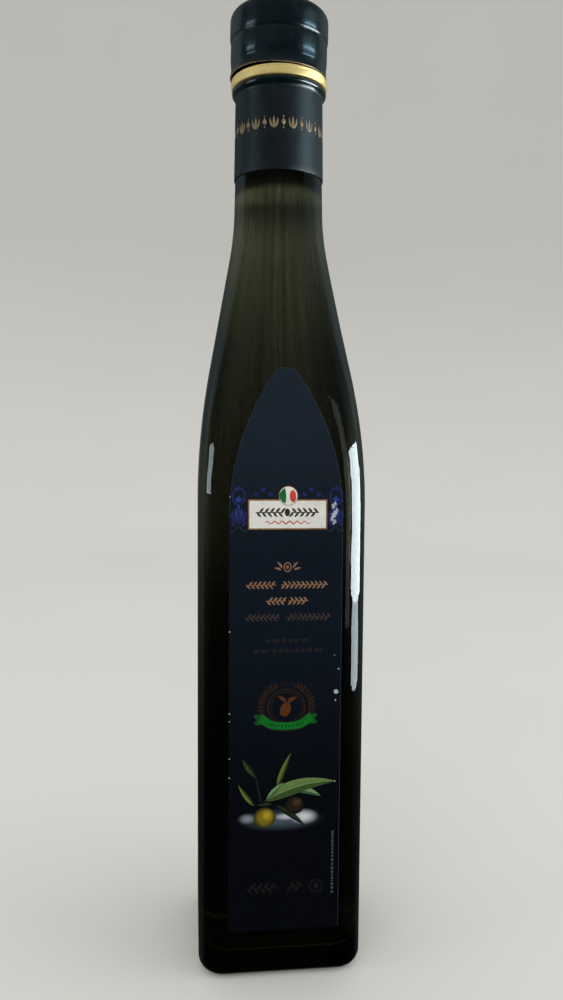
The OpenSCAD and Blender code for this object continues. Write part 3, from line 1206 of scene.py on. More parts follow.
@dataclass
class Bottle:
    """The glass and the oil in it."""

    shop: Workshop
    form: BottleForm
    skirt_z: float = 266.0
    bead_z: float = 293.4
    band_z: float = 295.15
    rim_z: float = 318.95
    neck_seat: float = 0.2
    neck_taper: float = 0.6
    finish_in: float = 0.8
    mouth_r: float = 10.6
    rim_r: float = 0.9
    throat_h: float = 8.0
    oil_z: float = 270.0
    oil_reach: float = 0.08

    def corner_start(self) -> float:
        """Direction where the body's corner starts, in degrees from a flat's middle."""
        return math.degrees(math.atan2(self.form.half_w - self.form.corner_r, self.form.half_w))

    @staticmethod
    def rim_turns() -> list[float]:
        """Directions, in radians, of the points of a quarter round at the mouth's rim."""
        return [math.radians(15 * i) for i in range(7)]

    def foot_corner(self, half: float) -> float:
        """Corner radius of the foot and heel at a half width."""
        return max(self.form.corner_r - (self.form.half_w - half), 1.5)

    def outer_levels(self) -> list[Level]:
        """Levels from the middle of the hollow foot up to the mouth's rim.

        Returns:
            The levels.
        """
        form = self.form
        punt = form.half_w - form.heel_r - form.foot_w
        levels = [(punt * t, punt * t * (0.9 - 0.5 * t), form.punt_h * (1 - t ** 3))
                  for t in (0.08, 0.3, 0.5, 0.65, 0.78, 0.88, 0.95)]
        levels += [(punt, self.foot_corner(punt), 0.05), (punt + 0.25, self.foot_corner(punt), 0.0)]
        for i in range(9):
            turn = math.radians(90 * i / 8)
            half = form.half_w - form.heel_r * (1 - math.sin(turn))
            levels.append((half, self.foot_corner(half), form.heel_r * (1 - math.cos(turn))))
        levels += [(form.half_w, form.corner_r, z) for z in (form.heel_r + 0.6, 15.0, 50.0, 100.0, 140.0)]
        levels += [form.outer(z) for z in form.shoulder_levels()]
        low, top, finish = (form.neck_r - d for d in (self.neck_seat, self.neck_taper, self.finish_in))
        levels += [(low, low, self.skirt_z), (top, top, self.bead_z), (finish, finish, self.band_z)]
        for turn in self.rim_turns():
            half = finish - self.rim_r * (1 - math.cos(turn))
            levels.append((half, half, self.rim_z - self.rim_r * (1 - math.sin(turn))))
        return levels

    def inner_levels(self, wall: float, top: float) -> list[Level]:
        """Levels from the neck down to the glass floor.

        Args:
            wall: How far they stand in from the outside.
            top: Height of the first one.

        Returns:
            The levels.
        """
        form = self.form
        levels = [(form.neck_r - wall, form.neck_r - wall, top)]
        levels += [form.inner(z, wall) for z in reversed(form.shoulder_levels())]
        levels += [form.inner(z, wall) for z in (140.0, 100.0, 50.0, 18.0)]
        floor = form.punt_h + form.floor_t + wall - form.wall_t
        for i in range(9):
            turn = math.radians(90 * i / 8)
            inward = form.inner_heel_r * (1 - math.cos(turn))
            half = form.half_w - wall - inward
            radius = max(form.corner_r - wall - inward * 0.6, form.inner_corner_min)
            levels.append((half, radius, floor + form.inner_heel_r * (1 - math.sin(turn))))
        half = form.half_w - wall - form.inner_heel_r
        levels += [(half * t, half * t * 0.4, floor) for t in (0.7, 0.35, 0.1)]
        return levels

    def glass(self) -> bpy.types.Object:
        """Builds the hollow glass, whose outside and inside are one skin that turns over at the mouth.

        Returns:
            The glass.
        """
        form, mouth = self.form, []
        for turn in self.rim_turns():
            half = self.mouth_r + self.rim_r * (1 - math.sin(turn))
            mouth.append((half, half, self.rim_z - self.rim_r * (1 - math.cos(turn))))
        bore = form.neck_r - form.wall_t
        throat = [(self.mouth_r, self.mouth_r, self.band_z), (bore, bore, self.bead_z - self.throat_h)]
        levels = self.outer_levels() + mouth + throat + self.inner_levels(form.wall_t, self.skirt_z)
        loft = Loft(levels, self.corner_start())
        return self.shop.piece("glass_bottle", loft.mesh, GLASS, Slot.GLASS, "bottle")

    def oil(self) -> bpy.types.Object:
        """Builds the oil, which reaches just into the glass wall.

        Returns:
            The oil.
        """
        levels = self.inner_levels(self.form.wall_t - self.oil_reach, self.oil_z)
        bore = levels[0][0]
        surface = [(bore * t, bore * t, self.oil_z) for t in (0.2, 0.6, 0.9)]
        loft = Loft(surface + levels, self.corner_start())
        return self.shop.piece("oil_filling", loft.mesh, OIL, Slot.OIL, "oil")

    def build(self) -> None:
        """Builds the glass, which the window lights reach, and the oil."""
        glass = self.glass()
        for rays in (Rays.POLISHED, Rays.GLASS):
            rays.light(glass)
        self.oil()


# ---------------------------------------------------------------- the closure


@dataclass
class Closure:
    """Sleeve with its bead and gold marks, gold band, and the two-ringed screw cap."""

    shop: Workshop
    skirt_z: float = 266.0
    bead_z: float = 293.4
    bead_h: float = 2.05
    band_z: float = 295.5
    band_h: float = 3.2
    cap_z: float = 299.55
    cap_h: float = 20.8
    cap_low_h: float = 11.2
    collar_r: float = 14.27
    sleeve_low_r: float = 15.15
    sleeve_top_r: float = 14.74
    skin_t: float = 0.25
    bead_r: float = 15.89
    band_r: float = 16.19
    cap_r: float = 16.54
    ring_step: float = 0.25
    groove_drop: float = 0.3
    groove_t: float = 0.12
    lip_h: float = 1.7
    lip_drop: float = 0.5
    cap_t: float = 1.1
    edge_r: float = 2.8
    lean: float = 0.8
    rim_z: float = 318.95
    mark_z: float = 280.9
    mark_pitch: float = 12.0

    def sleeve_r(self, z: float) -> float:
        """Outer radius of the sleeve at a height."""
        share = (z - self.skirt_z) / (self.bead_z - 0.4 - self.skirt_z)
        return self.sleeve_low_r + (self.sleeve_top_r - self.sleeve_low_r) * min(share, 1.0)

    def sleeve(self) -> bpy.types.Object:
        """Builds the sleeve with its rolled lower edge and the bead on top.

        Returns:
            The sleeve.
        """
        half = self.bead_h / 2
        low, top, neck = self.sleeve_low_r, self.sleeve_top_r, self.bead_z - half / 2
        profile = [(low - self.skin_t, self.skirt_z), *arc((low - 0.1, self.skirt_z + 0.1), 0.1, -90, 0, 3)]
        profile += [(self.sleeve_r(z), z) for z in (268.0, 272.0, 278.0, 284.0, 289.0)]
        profile += [(top, neck - 0.9), (top + 0.03, neck - 0.4), (top + 0.16, neck), (top + 0.42, neck + 0.3)]
        profile += arc((self.bead_r - half, self.bead_z + half), half, -58, 70, 10)
        profile += [(self.bead_r - half, self.bead_z + self.bead_h),
                    (self.collar_r, self.bead_z + self.bead_h), (top - self.skin_t, self.bead_z)]
        made = self.shop.piece("sleeve", lathe(profile), SLEEVE_LACQUER, Slot.LACQUER, "skirt")
        made.data.materials.append(self.shop.dress(CAP_LACQUER))
        for face in made.data.polygons:
            face.material_index = int(face.center.z > neck * MM)
        return made

    def gold_band(self) -> bpy.types.Object:
        """Builds the crowned gold band with a fine line pressed into it.

        Returns:
            The band.
        """
        low, high, out = self.band_z, self.band_z + self.band_h, self.band_r
        profile = [(self.collar_r, low), *arc((out - 0.55, low + 0.45), 0.45, -90, -8, 6)]
        profile += [(out - 0.03, low + 0.95), (out, low + 1.35), (out, low + 1.75)]
        profile += [(out - 0.02, low + 2.05), (out - 0.13, low + 2.18), (out - 0.13, low + 2.30),
                    (out - 0.03, low + 2.42)]
        profile += [*arc((out - 0.5, high - 0.45), 0.45, 10, 90, 6), (self.collar_r, high)]
        return self.shop.piece("gold_band", lathe(profile), GOLD, Slot.GOLD, "gold_band")

    def tilted(self, mesh: bmesh.types.BMesh) -> bmesh.types.BMesh:
        """Leans a shape as the screwed-on cap leans, its torn lower lip hanging down all but on the left.

        Args:
            mesh: The upright shape, in metres.

        Returns:
            The same shape, leaned.
        """
        for vert in mesh.verts:
            share = min(max((self.cap_z + self.lip_h - vert.co.z / MM) / self.lip_h, 0.0), 1.0)
            lifted = (max(-vert.co.x / MM, 0.0) / self.cap_r) ** 1.3
            vert.co.z -= self.lip_drop * share * (1 - lifted) * MM
        bmesh.ops.rotate(mesh, verts=mesh.verts, cent=(0.0, 0.0, self.rim_z * MM),
                         matrix=Matrix.Rotation(math.radians(self.lean), 3, "Y"))
        return mesh

    def cap(self) -> bpy.types.Object:
        """Builds the cap: two crowned rings, the groove between them, a rounded top and a hollow inside.

        Returns:
            The cap.
        """
        low, high = self.cap_r - self.ring_step - 0.05, self.cap_r - 0.02
        foot, top, bore = self.cap_z, self.cap_z + self.cap_h, self.cap_r - self.cap_t
        groove = foot + self.cap_low_h - self.groove_drop
        profile = [(bore, foot + 0.35), (low - 0.3, foot), *arc((low - 0.03, foot + 0.16), 0.16, -90, 30, 5)]
        profile += [(low - inward, foot + up)
                    for inward, up in ((-0.03, 0.45), (0.09, 0.75), (0.16, 1.6), (0.22, 2.6))]
        profile += self.rounded(low, foot + 6.2, 20.0)
        profile += [(low - depth, groove + up)
                    for depth, up in ((0.0, -0.9), (0.04, -0.55), (0.09, -0.3), (self.groove_t, 0.0),
                                      (0.09, 0.25), (0.02, 0.45))]
        profile += self.rounded(high, groove + 2.7, 14.0)
        profile += [(high - 0.01, groove + 4.5), (high - 0.05, top - self.edge_r)]
        profile += arc((high - 0.06 - self.edge_r, top - self.edge_r), self.edge_r, 4, 84, 14)
        profile += [(self.cap_r - self.edge_r - 1.0, top), (self.cap_r - self.edge_r - 2.4, top - 0.12)]
        profile += [(radius, top - 0.16) for radius in (8.0, 3.0, 0.0)]
        profile += [(0.0, top - self.cap_t), (bore - 1, top - self.cap_t), (bore, top - self.cap_t - 1)]
        return self.shop.piece("screw_cap", self.tilted(lathe(profile)), CAP_LACQUER, Slot.LACQUER, "cap")

    @staticmethod
    def rounded(radius: float, end: float, curve: float, turn: float = 9.0, steps: int = 6) -> list[Point]:
        """Points of a ring's lower part, which rounds out gently until it is upright.

        Args:
            radius: Radius where it is upright.
            end: Height where it is upright.
            curve: Radius of the rounding.
            turn: Lean of its lowest point, in degrees.
            steps: Steps between the ends.

        Returns:
            The points, going up.
        """
        leans = (math.radians(turn * (1 - i / steps)) for i in range(steps + 1))
        return [(radius - curve * (1 - math.cos(lean)), end - curve * math.sin(lean)) for lean in leans]

    def cut_edge(self) -> bpy.types.Object:
        """Builds the thin bare edge where the cap was cut from the band.

        Returns:
            The edge.
        """
        edge = self.cap_r - self.ring_step
        profile = [(edge + out, self.cap_z + up)
                   for out, up in ((-0.45, 0.02), (-0.08, -0.02), (0.065, 0.05), (0.075, 0.14),
                                   (-0.15, 0.20))]
        return self.shop.piece("cap_cut_edge", self.tilted(lathe(profile)), RAW_EDGE, Slot.GOLD)

    def wrapped(self, mesh: bmesh.types.BMesh, turn: float, lift: float) -> None:
        """Wraps flat marks round the sleeve.

        Args:
            mesh: Marks drawn on X and Z about the mark line, in millimetres, with Y 0 outside and 1 inside.
            turn: Where X 0 goes, in degrees from the front towards +X.
            lift: How far the outside stands off the sleeve.
        """
        for vert in mesh.verts:
            z = self.mark_z + vert.co.z
            radius = self.sleeve_r(z) + (lift if vert.co.y < 0.5 else -0.05)
            angle = math.radians(turn) + vert.co.x / radius
            vert.co = Vector((radius * math.sin(angle), -radius * math.cos(angle), z)) * MM

    def marks(self) -> bpy.types.Object:
        """Builds the ring of small gold marks: a lozenge between pairs of upright leaves.

        Returns:
            The marks, as one piece.
        """
        whole = bmesh.new()
        count = round(360 / self.mark_pitch)
        for i in range(count):
            mark = bmesh.new()
            if i % 2:
                add_leaf(mark, (0.0, 1.95), (0.0, -1.95), 0.8, 0.0, 8)
                add_leaf(mark, (1.25, 1.45), (0.2, -1.95), 0.6, -0.35, 8)
                add_leaf(mark, (-1.25, 1.45), (-0.2, -1.95), 0.6, 0.35, 8)
            else:
                add_disc(mark, (0.0, 0.0), (0.72, 1.35), 4)
                add_disc(mark, (0.0, 1.75), (0.26, 0.26), 8)
                add_disc(mark, (0.0, -1.75), (0.26, 0.26), 8)
            thicken(mark)
            self.wrapped(mark, i * self.mark_pitch, 0.02)
            merge_into(whole, mark)
        return self.shop.piece("sleeve_gold_marks", whole, MARK_GOLD, Slot.GOLD)

    def build(self) -> None:
        """Builds the closure from the sleeve up, and lets the shine lights reach it."""
        band = self.gold_band()
        for made in (self.sleeve(), self.marks(), band, self.cap(), self.cut_edge()):
            Rays.CLOSURE.light(made)
            Rays.POLISHED.light(made)
        Rays.GOLD.light(band)


# ---------------------------------------------------------------- the label


@dataclass
class Label:
    """Arched navy label with its printed panel, ornaments, emblem and olive sprig."""

    shop: Workshop
    form: BottleForm
    off: float = 0.5
    width: float = 36.6
    low: float = 16.6
    side_h: float = 137.2
    arch_r: float = 80.5
    tip_r: float = 4.9
    corner_r: float = 0.8
    back: float = 0.02
    face: float = 0.12
    layer_step: float = 0.008
    shape_step: float = 0.0015
    crease: float = 2.0

    def outline(self) -> list[Point]:
        """Outline of the paper: upright sides, an arch and a rounded tip.

        Returns:
            Its points, round from the lower right corner.
        """
        half, arch_z = self.width / 2, self.low + self.side_h
        tip_z = arch_z + math.sqrt((self.arch_r - self.tip_r) ** 2 - (self.arch_r - half) ** 2)
        turn = math.degrees(math.atan2(tip_z - arch_z, self.arch_r - half))
        right = arc((half - self.corner_r, self.low + self.corner_r), self.corner_r, -90, 0, 5)
        right += arc((half - self.arch_r, arch_z), self.arch_r, 0, turn, 30)
        right += arc((0.0, tip_z), self.tip_r, turn + 4, 90, 10)
        return right + [(-x, z) for x, z in reversed(right[:-1])]

    def lay(self, name: str, mesh: bmesh.types.BMesh, finish: Finish, layer: int,
            replaced: Optional[str] = None) -> bpy.types.Object:
        """Lays a flat drawing on the front of the bottle.

        Args:
            name: The piece's name.
            mesh: The drawing, about the label's middle line.
            finish: Its finish.
            layer: 0 for the paper, then 1 and up for inks, each a little further out.
            replaced: The CAD node that it stands for, if any.

        Returns:
            The piece.
        """
        bmesh.ops.translate(mesh, verts=mesh.verts, vec=(self.off, 0.0, 0.0))
        heights = [vert.co.z for vert in mesh.verts]
        level = self.form.body_h
        while level < max(heights):
            if level > min(heights):
                bmesh.ops.bisect_plane(mesh, geom=[*mesh.verts, *mesh.edges, *mesh.faces], dist=1e-6,
                                       plane_co=(0.0, 0.0, level), plane_no=(0.0, 0.0, 1.0))
            level += self.crease
        thicken(mesh)
        inner = self.back if layer == 0 else self.face - self.layer_step
        for i, shape in enumerate(islands(mesh)):
            outer = self.face + layer * self.layer_step + i % 5 * self.shape_step
            for vert in shape:
                lift = outer if vert.co.y < 0.5 else inner
                vert.co = Vector((vert.co.x, -(self.form.outside(vert.co.z) + lift), vert.co.z)) * MM
        return self.shop.piece(name, mesh, finish, Slot.PAPER, replaced, smooth=False)

    def paper(self) -> None:
        """Builds the paper and the pale line of its cut edge, drawn only on the right side and the arch where
        light falls on it: partly the edge's own colour, partly painted highlight.
        """
        sheet = bmesh.new()
        corners = [sheet.verts.new((x, 0.0, z)) for x, z in self.outline()]
        sheet.faces.new(corners)
        self.lay("label_paper", sheet, PAPER, 0, replaced="label")
        edge = bmesh.new()
        outline = self.outline()
        inner = [(x - math.copysign(0.09, x), z) for x, z in outline]
        # Painted highlight: the edge line goes only where light falls, all along the right side and the arch,
        # and on the left only above 150 mm.
        right = [p for p in inner[3:] if p[0] > -1.0]
        add_stroke(edge, right[:-1], 0.14)
        left = [p for p in inner if p[0] < -0.9 and p[1] > 150.0]
        add_stroke(edge, left, 0.09)
        self.lay("label_lit_cut_edge", edge, LIT_EDGE, 1)

    def panel(self) -> None:
        """Builds the cream panel, its copper border, the medallion over it and what is printed on it."""
        border, cream = bmesh.new(), bmesh.new()
        add_panel(border, (-12.35, 150.0), (13.15, 159.7), 0.25)
        self.lay("panel_border", border, BORDER, 3)
        add_panel(cream, (-11.9, 150.45), (12.7, 159.25), 0.15)
        self.lay("panel_cream", cream, CREAM, 4)
        garland = bmesh.new()
        add_garland_row(garland, (-9.9, 10.4), (-1.1, 1.6), 155.5, 2.1, 1.75, 0.34)
        add_disc(garland, (0.25, 155.5), (0.85, 1.25), 20)
        self.lay("panel_garland", garland, DARK_GREY, 5)
        wave = bmesh.new()
        line = [(-6.8 + 14.4 * i / 60, 152.3 + 0.42 * math.sin(i * math.pi / 5)) for i in range(61)]
        add_stroke(wave, line, lambda t: 0.46 - 0.2 * abs(2 * t - 1))
        self.lay("panel_coral_line", wave, CORAL, 5)
        self.medallion()

    def medallion(self) -> None:
        """Builds the round medallion: a cream field with a green leaf and a coral fruit."""
        rim, field_, leaf, fruit = bmesh.new(), bmesh.new(), bmesh.new(), bmesh.new()
        x, z = 0.5, 160.8
        add_disc(rim, (x, z), (3.1, 3.15), 48)
        self.lay("medallion_rim", rim, BORDER, 5)
        add_disc(field_, (x, z), (2.9, 2.95), 48)
        self.lay("medallion_field", field_, CREAM, 6)
        add_leaf(leaf, (x - 1.1, z + 2.55), (x - 1.0, z - 2.55), 2.3, 0.75, 16, 0.5)
        self.lay("medallion_leaf", leaf, SEAL_GREEN, 7)
        add_disc(fruit, (x + 1.5, z - 0.1), (1.05, 1.95), 28, 4.0)
        self.lay("medallion_fruit", fruit, CORAL_RED, 7)

    def ornament(self, side: Side) -> None:
        """Builds one blue ornament beside the panel: an oval, a tulip of leaves and curls.

        Args:
            side: Which side of the panel.
        """
        x, oval_z = -15.3 if side is Side.LEFT else 15.95, 160.6
        form, lights, fine = bmesh.new(), bmesh.new(), bmesh.new()
        add_ring(form, (x, oval_z), (2.15, 2.9), 0.5, 32)
        for turn in (-1, 1):
            for angle in map(math.radians, (20, 62, -25)):
                bead = (x + 2.0 * turn * math.cos(angle), oval_z + 2.75 * math.sin(angle))
                add_disc(form, bead, (0.42, 0.42), 10)
            add_leaf(form, (x + 1.95 * turn, 156.2), (x + 0.1 * turn, 151.7), 1.35, -0.75 * turn, 10, 0.6)
            add_leaf(form, (x + 2.35 * turn, 153.1), (x + 1.0 * turn, 151.0), 0.85, -0.2 * turn, 8)
            add_leaf(lights, (x + 0.95 * turn, 156.9), (x + 0.15 * turn, 152.6), 0.62, -0.3 * turn, 8, 0.6)
            add_leaf(lights, (x + 0.85 * turn, 160.3), (x + 0.1 * turn, 158.7), 0.6, -0.1 * turn, 8, 0.6)
            curl = smooth_line([(x + 0.3 * turn, 151.0), (x + 0.9 * turn, 150.1), (x + 1.8 * turn, 149.6),
                                (x + 2.6 * turn, 149.7)], 5)
            add_stroke(fine, curl, 0.16)
        add_leaf(form, (x, 164.2), (x, 162.6), 1.0, 0.0, 8)
        add_leaf(form, (x, 157.9), (x, 151.2), 1.3, 0.0, 10, 0.6)
        add_leaf(lights, (x, 160.9), (x, 158.5), 0.7, 0.0, 8, 0.6)
        add_disc(lights, (x, 157.3), (0.5, 0.35), 12)
        name = side.name.lower()
        self.lay(f"ornament_{name}", form, BLUE, 1)
        self.lay(f"ornament_{name}_lights", lights, STEEL_BLUE, 2)
        self.lay(f"ornament_{name}_curls", fine, FINE_GREY, 2)

    def flourishes(self) -> None:
        """Builds the small blue flourishes above the panel."""
        form = bmesh.new()
        for x, z in ((-9.8, 161.3), (-7.5, 162.8), (-5.2, 161.3), (5.8, 161.3), (8.0, 162.8), (10.3, 161.3)):
            for lean in (-1, 0, 1):
                tip = (x + 0.75 * lean, z + 0.7 - 0.15 * abs(lean))
                add_leaf(form, tip, (x + 0.1 * lean, z - 0.7), 0.6, 0.0, 8, 0.6)
            add_disc(form, (x, z - 0.5), (0.45, 0.25), 10)
        for x, z in ((-11.4, 160.7), (-3.6, 160.9), (4.2, 160.9), (12.0, 160.7)):
            add_disc(form, (x, z), (0.3, 0.3), 10)
        self.lay("panel_flourishes", form, BLUE, 1)

    def lines(self) -> None:
        """Builds the rows of copper leaf garlands and the faint rows of dashes under them."""
        bright, dim, faint = bmesh.new(), bmesh.new(), bmesh.new()
        add_ring(bright, (0.45, 137.9), (1.3, 1.6), 0.36, 28)
        add_disc(bright, (0.45, 137.9), (0.42, 0.6), 16)
        for turn in (-1, 1):
            add_leaf(bright, (0.45 + 3.4 * turn, 139.6), (0.45 + 1.75 * turn, 137.6), 0.75, 0.2 * turn, 8)
            add_leaf(bright, (0.45 + 4.4 * turn, 137.7), (0.45 + 2.0 * turn, 137.0), 0.7, 0.1 * turn, 8)
        add_garland_row(bright, (-12.9, 13.6), (-3.2, -1.6), 132.1, 1.75, 1.45, 0.26)
        add_garland_row(bright, (-6.4, 7.2), (0.0, 0.8), 126.9, 1.8, 1.45, 0.26)
        self.lay("copper_garlands", bright, COPPER, 1)
        add_garland_row(dim, (-13.3, 14.7), (-2.0, -0.1), 121.6, 1.8, 1.5, 0.28)
        self.lay("dim_garlands", dim, DIM_COPPER, 1)
        draw = random.Random(11)
        for start, end, z, height in ((-6.5, 7.3, 114.0, 1.25), (-10.5, 11.6, 110.6, 1.25)):
            x = start
            while x < end:
                length = min(draw.uniform(0.8, 2.6), end - x)
                add_pill(faint, (x, z), (x + length, z), height, 8)
                x += length + draw.uniform(0.45, 0.7)
        self.lay("faint_dashes", faint, FAINT_COPPER, 1)
        foot, z = bmesh.new(), 31.0
        add_garland_row(foot, (-12.5, 6.4), (-1.6, 0.4), z, 2.6, 2.2, 0.34)
        add_ring(foot, (10.7, z), (2.3, 2.3), 0.45, 32)
        add_disc(foot, (10.7, z), (0.8, 1.2), 16)
        self.lay("foot_garland", foot, FOOT_COPPER, 1)

    def emblem(self) -> None:
        """Builds the copper emblem: two rings, laurel sides, an arc of dashes and an olive in the middle."""
        rings = bmesh.new()
        centre = (0.4, 91.9)
        add_ring(rings, centre, (6.2, 6.2), 0.42, 72)
        add_ring(rings, centre, (5.2, 5.2), 0.22, 64)
        for turn in (-1, 1):
            branch = [(centre[0] + turn * 8.4 * math.cos(angle), centre[1] + 8.0 * math.sin(angle))
                      for angle in map(math.radians, range(-38, 71, 9))]
            add_stroke(rings, branch, 0.26)
            for i, point in enumerate(branch[:-1]):
                way = (Vector(branch[i + 1]) - Vector(point)).normalized()
                for lean in (-46, 46):
                    tip = Vector(point) + (Matrix.Rotation(math.radians(lean), 2) @ way) * 1.75
                    add_leaf(rings, tuple(tip), point, 0.62, 0.0, 6)
        for i in range(13):
            turn = math.radians(51 + 6.5 * i)
            way = Vector((math.cos(turn), math.sin(turn)))
            start = Vector(centre) + way * 7.25
            add_pill(rings, tuple(start), tuple(start + way * 1.15), 0.34, 8)
        self.lay("emblem_rings", rings, BROWN_COPPER, 1)
        drop = bmesh.new()
        add_disc(drop, (0.1, 91.2), (1.75, 2.35), 32, -18.0)
        add_leaf(drop, (4.0, 95.2), (0.7, 93.4), 1.3, 0.35, 10)
        add_leaf(drop, (-2.6, 95.6), (0.4, 93.5), 1.1, -0.35, 10)
        self.lay("emblem_olive", drop, EMBLEM_COPPER, 1)
        self.ribbon()

    def ribbon(self) -> None:
        """Builds the green ribbon: a sagging band with small seeds and two folded swallow tails."""
        x = 0.2
        tails, band, seeds = bmesh.new(), bmesh.new(), bmesh.new()
        for turn in (-1, 1):
            add_leaf(tails, (x + 10.4 * turn, 89.4), (x + 7.2 * turn, 88.0), 1.7, 0.0, 8, 0.6)
            add_leaf(tails, (x + 10.4 * turn, 86.8), (x + 7.2 * turn, 87.4), 1.6, 0.0, 8, 0.6)
            add_stroke(tails, [(x + 7.0 * turn, 87.5), (x + 8.4 * turn, 87.7), (x + 9.5 * turn, 88.0)], 2.7)
        self.lay("ribbon_tails", tails, RIBBON_FOLD, 2)
        sag = smooth_line([(x - 8.5, 88.5), (x - 7.1, 87.8), (x - 5.4, 86.5), (x - 3.0, 85.85), (x, 85.65),
                           (x + 3.0, 85.85), (x + 5.4, 86.5), (x + 7.1, 87.8), (x + 8.5, 88.5)], 5)
        add_stroke(band, sag, lambda t: 2.5 + 0.5 * abs(2 * t - 1) ** 3)
        self.lay("ribbon_band", band, RIBBON, 3)
        for i in range(10, 31, 2):
            add_disc(seeds, (sag[i][0], sag[i][1]), (0.2, 0.55), 8, 12.0 * (i - 20) / 10)
        self.lay("ribbon_seeds", seeds, RIBBON_DARK, 4)
        under = bmesh.new()
        add_stroke(under, [(px, pz - 1.6) for px, pz in sag[9:-9]], 0.26)
        self.lay("ribbon_line", under, BROWN_COPPER, 1)

    def sprig(self) -> None:
        """Builds the olive sprig: stems, leaves and two olives in front of a pale glow."""
        stems, slim, dim, big, pale, dark = (bmesh.new() for _ in range(6))
        long_stem = smooth_line([(-9.5, 69.0), (-8.9, 66.2), (-8.2, 62.9), (-7.6, 58.9)], 6)
        add_stroke(stems, long_stem, lambda t: 0.3 + 0.25 * t)
        add_stroke(stems, smooth_line([(-10.1, 59.6), (-8.2, 59.9), (-6.0, 61.0)], 5), 0.36)
        add_stroke(stems, smooth_line([(-2.4, 65.8), (-3.6, 63.6), (-5.6, 60.9)], 5), 0.34)
        self.lay("sprig_stems", stems, DIM_LEAF, 2)
        add_leaf(dark, (6.9, 51.9), (-2.9, 59.1), 2.0, 0.4, 18)
        add_leaf(dark, (-9.6, 59.5), (-4.2, 59.6), 1.5, -0.3, 12)
        self.lay("sprig_dark_leaves", dark, DARK_LEAF, 2)
        add_leaf(dim, (-13.8, 75.0), (-9.4, 68.7), 1.75, 0.25, 14, 0.5)
        self.lay("sprig_dim_leaf", dim, DIM_LEAF, 3)
        add_leaf(slim, (-15.2, 66.5), (-10.1, 59.3), 1.5, 0.25, 14, 0.4)
        add_leaf(slim, (2.0, 76.6), (-2.5, 65.4), 1.7, 0.2, 18, 0.4)
        self.lay("sprig_slim_leaves", slim, SLIM_LEAF, 3)
        add_leaf(pale, (11.9, 61.7), (3.0, 63.6), 2.0, 1.0, 16, 0.5)
        self.lay("sprig_pale_leaf", pale, PALE_LEAF, 3)
        add_leaf(big, (17.0, 66.6), (-6.1, 60.9), 4.7, 1.9, 28, 0.38)
        self.lay("sprig_big_leaf", big, BIG_LEAF, 4)
        near = bmesh.new()
        add_leaf(near, (-0.3, 66.7), (-5.9, 61.2), 1.5, 0.3, 14, 0.45)
        self.lay("sprig_near_leaf", near, PALE_LEAF, 5)
        self.fruit("dark_olive", (3.3, 58.9), (3.2, 2.95), DARK_OLIVE, 3)
        self.fruit("yellow_olive", (-6.45, 55.15), (3.6, 3.4), YELLOW_OLIVE, 5)

    def fruit(self, name: str, centre: Point, radii: Point, finish: FruitFinish, layer: int) -> None:
        """Builds one olive, whose UV map spans its oval.

        Args:
            name: The piece's name.
            centre: Its middle.
            radii: Its half sizes.
            finish: Its finish.
            layer: Its ink layer.
        """
        form = bmesh.new()
        add_disc(form, centre, radii, 40)
        uv = form.loops.layers.uv.new("UVMap")
        for face in form.faces:
            for loop in face.loops:
                loop[uv].uv = (0.5 + (loop.vert.co.x - centre[0]) / (2 * radii[0]),
                               0.5 + (loop.vert.co.z - centre[1]) / (2 * radii[1]))
        self.lay(name, form, finish, layer)

    def wear(self) -> None:
        """Builds the small bare nicks along the paper's sides and the scuff on the right ornament."""
        nicks, draw = bmesh.new(), random.Random(7)
        places = [(-18.05, 160.5, 0.5), (-18.1, 117.1, 0.45), (-18.1, 90.2, 0.5), (-18.1, 87.7, 0.4),
                  (-18.1, 75.3, 0.4), (-18.1, 68.9, 0.45), (16.0, 108.9, 0.35), (17.4, 104.3, 0.5),
                  (16.7, 96.7, 1.5), (16.5, 93.9, 0.6), (16.6, 66.6, 0.5)]
        places += [(15.5 + draw.uniform(-0.9, 0.9), 151.9 + 0.42 * i, draw.uniform(0.7, 1.5))
                   for i in range(17)]
        for x, z, size in places:
            radii = (size * 0.5 * draw.uniform(0.7, 1.1), size * 0.5)
            add_disc(nicks, (x, z), radii, 9, draw.uniform(-40, 40))
        self.lay("bare_nicks", nicks, SCUFF, 6)
        fine = bmesh.new()
        z = 28.2
        while z < 49.3:
            length = draw.uniform(0.5, 1.3)
            add_pill(fine, (16.1, z), (16.1, min(z + length, 49.5)), draw.uniform(0.7, 1.0), 8)
            z += length + draw.uniform(0.25, 0.4)
        self.lay("side_dashes", fine, FINE_GREY, 1)

    def build(self) -> None:
        """Builds the paper, then every print on it."""
        self.paper()
        self.panel()
        for side in Side:
            self.ornament(side)
        self.flourishes()
        self.lines()
        self.emblem()
        self.sprig()
        self.wear()


# ---------------------------------------------------------------- the studio


@dataclass(frozen=True)
class SoftLight:
    """One soft light, upright and turned to the bottle."""

    name: str
    azimuth: float
    distance: float
    low: float
    high: float
    width: float
    radiance: float
    colour: Colour
    rays: Rays

    def build(self) -> bpy.types.Object:
        """Builds the light.

        Returns:
            The light.
        """
        lamp = bpy.data.lights.new(self.name, "AREA")
        lamp.shape = "RECTANGLE"
        lamp.size, lamp.size_y = self.width, self.high - self.low
        lamp.energy = 4.0 * self.radiance * lamp.size * lamp.size_y
        lamp.color = self.colour
        made = bpy.data.objects.new(self.name, lamp)
        turn = math.radians(self.azimuth)
        made.location = (self.distance * math.sin(turn), -self.distance * math.cos(turn),
                         (self.low + self.high) / 2)
        made.rotation_euler = (math.radians(90), 0.0, turn)
        made.visible_camera = False
        made.visible_transmission = False
        made.visible_glossy = self.rays is not Rays.FILL
        made.visible_diffuse = self.rays is Rays.FILL
        bpy.context.scene.collection.objects.link(made)
        return made


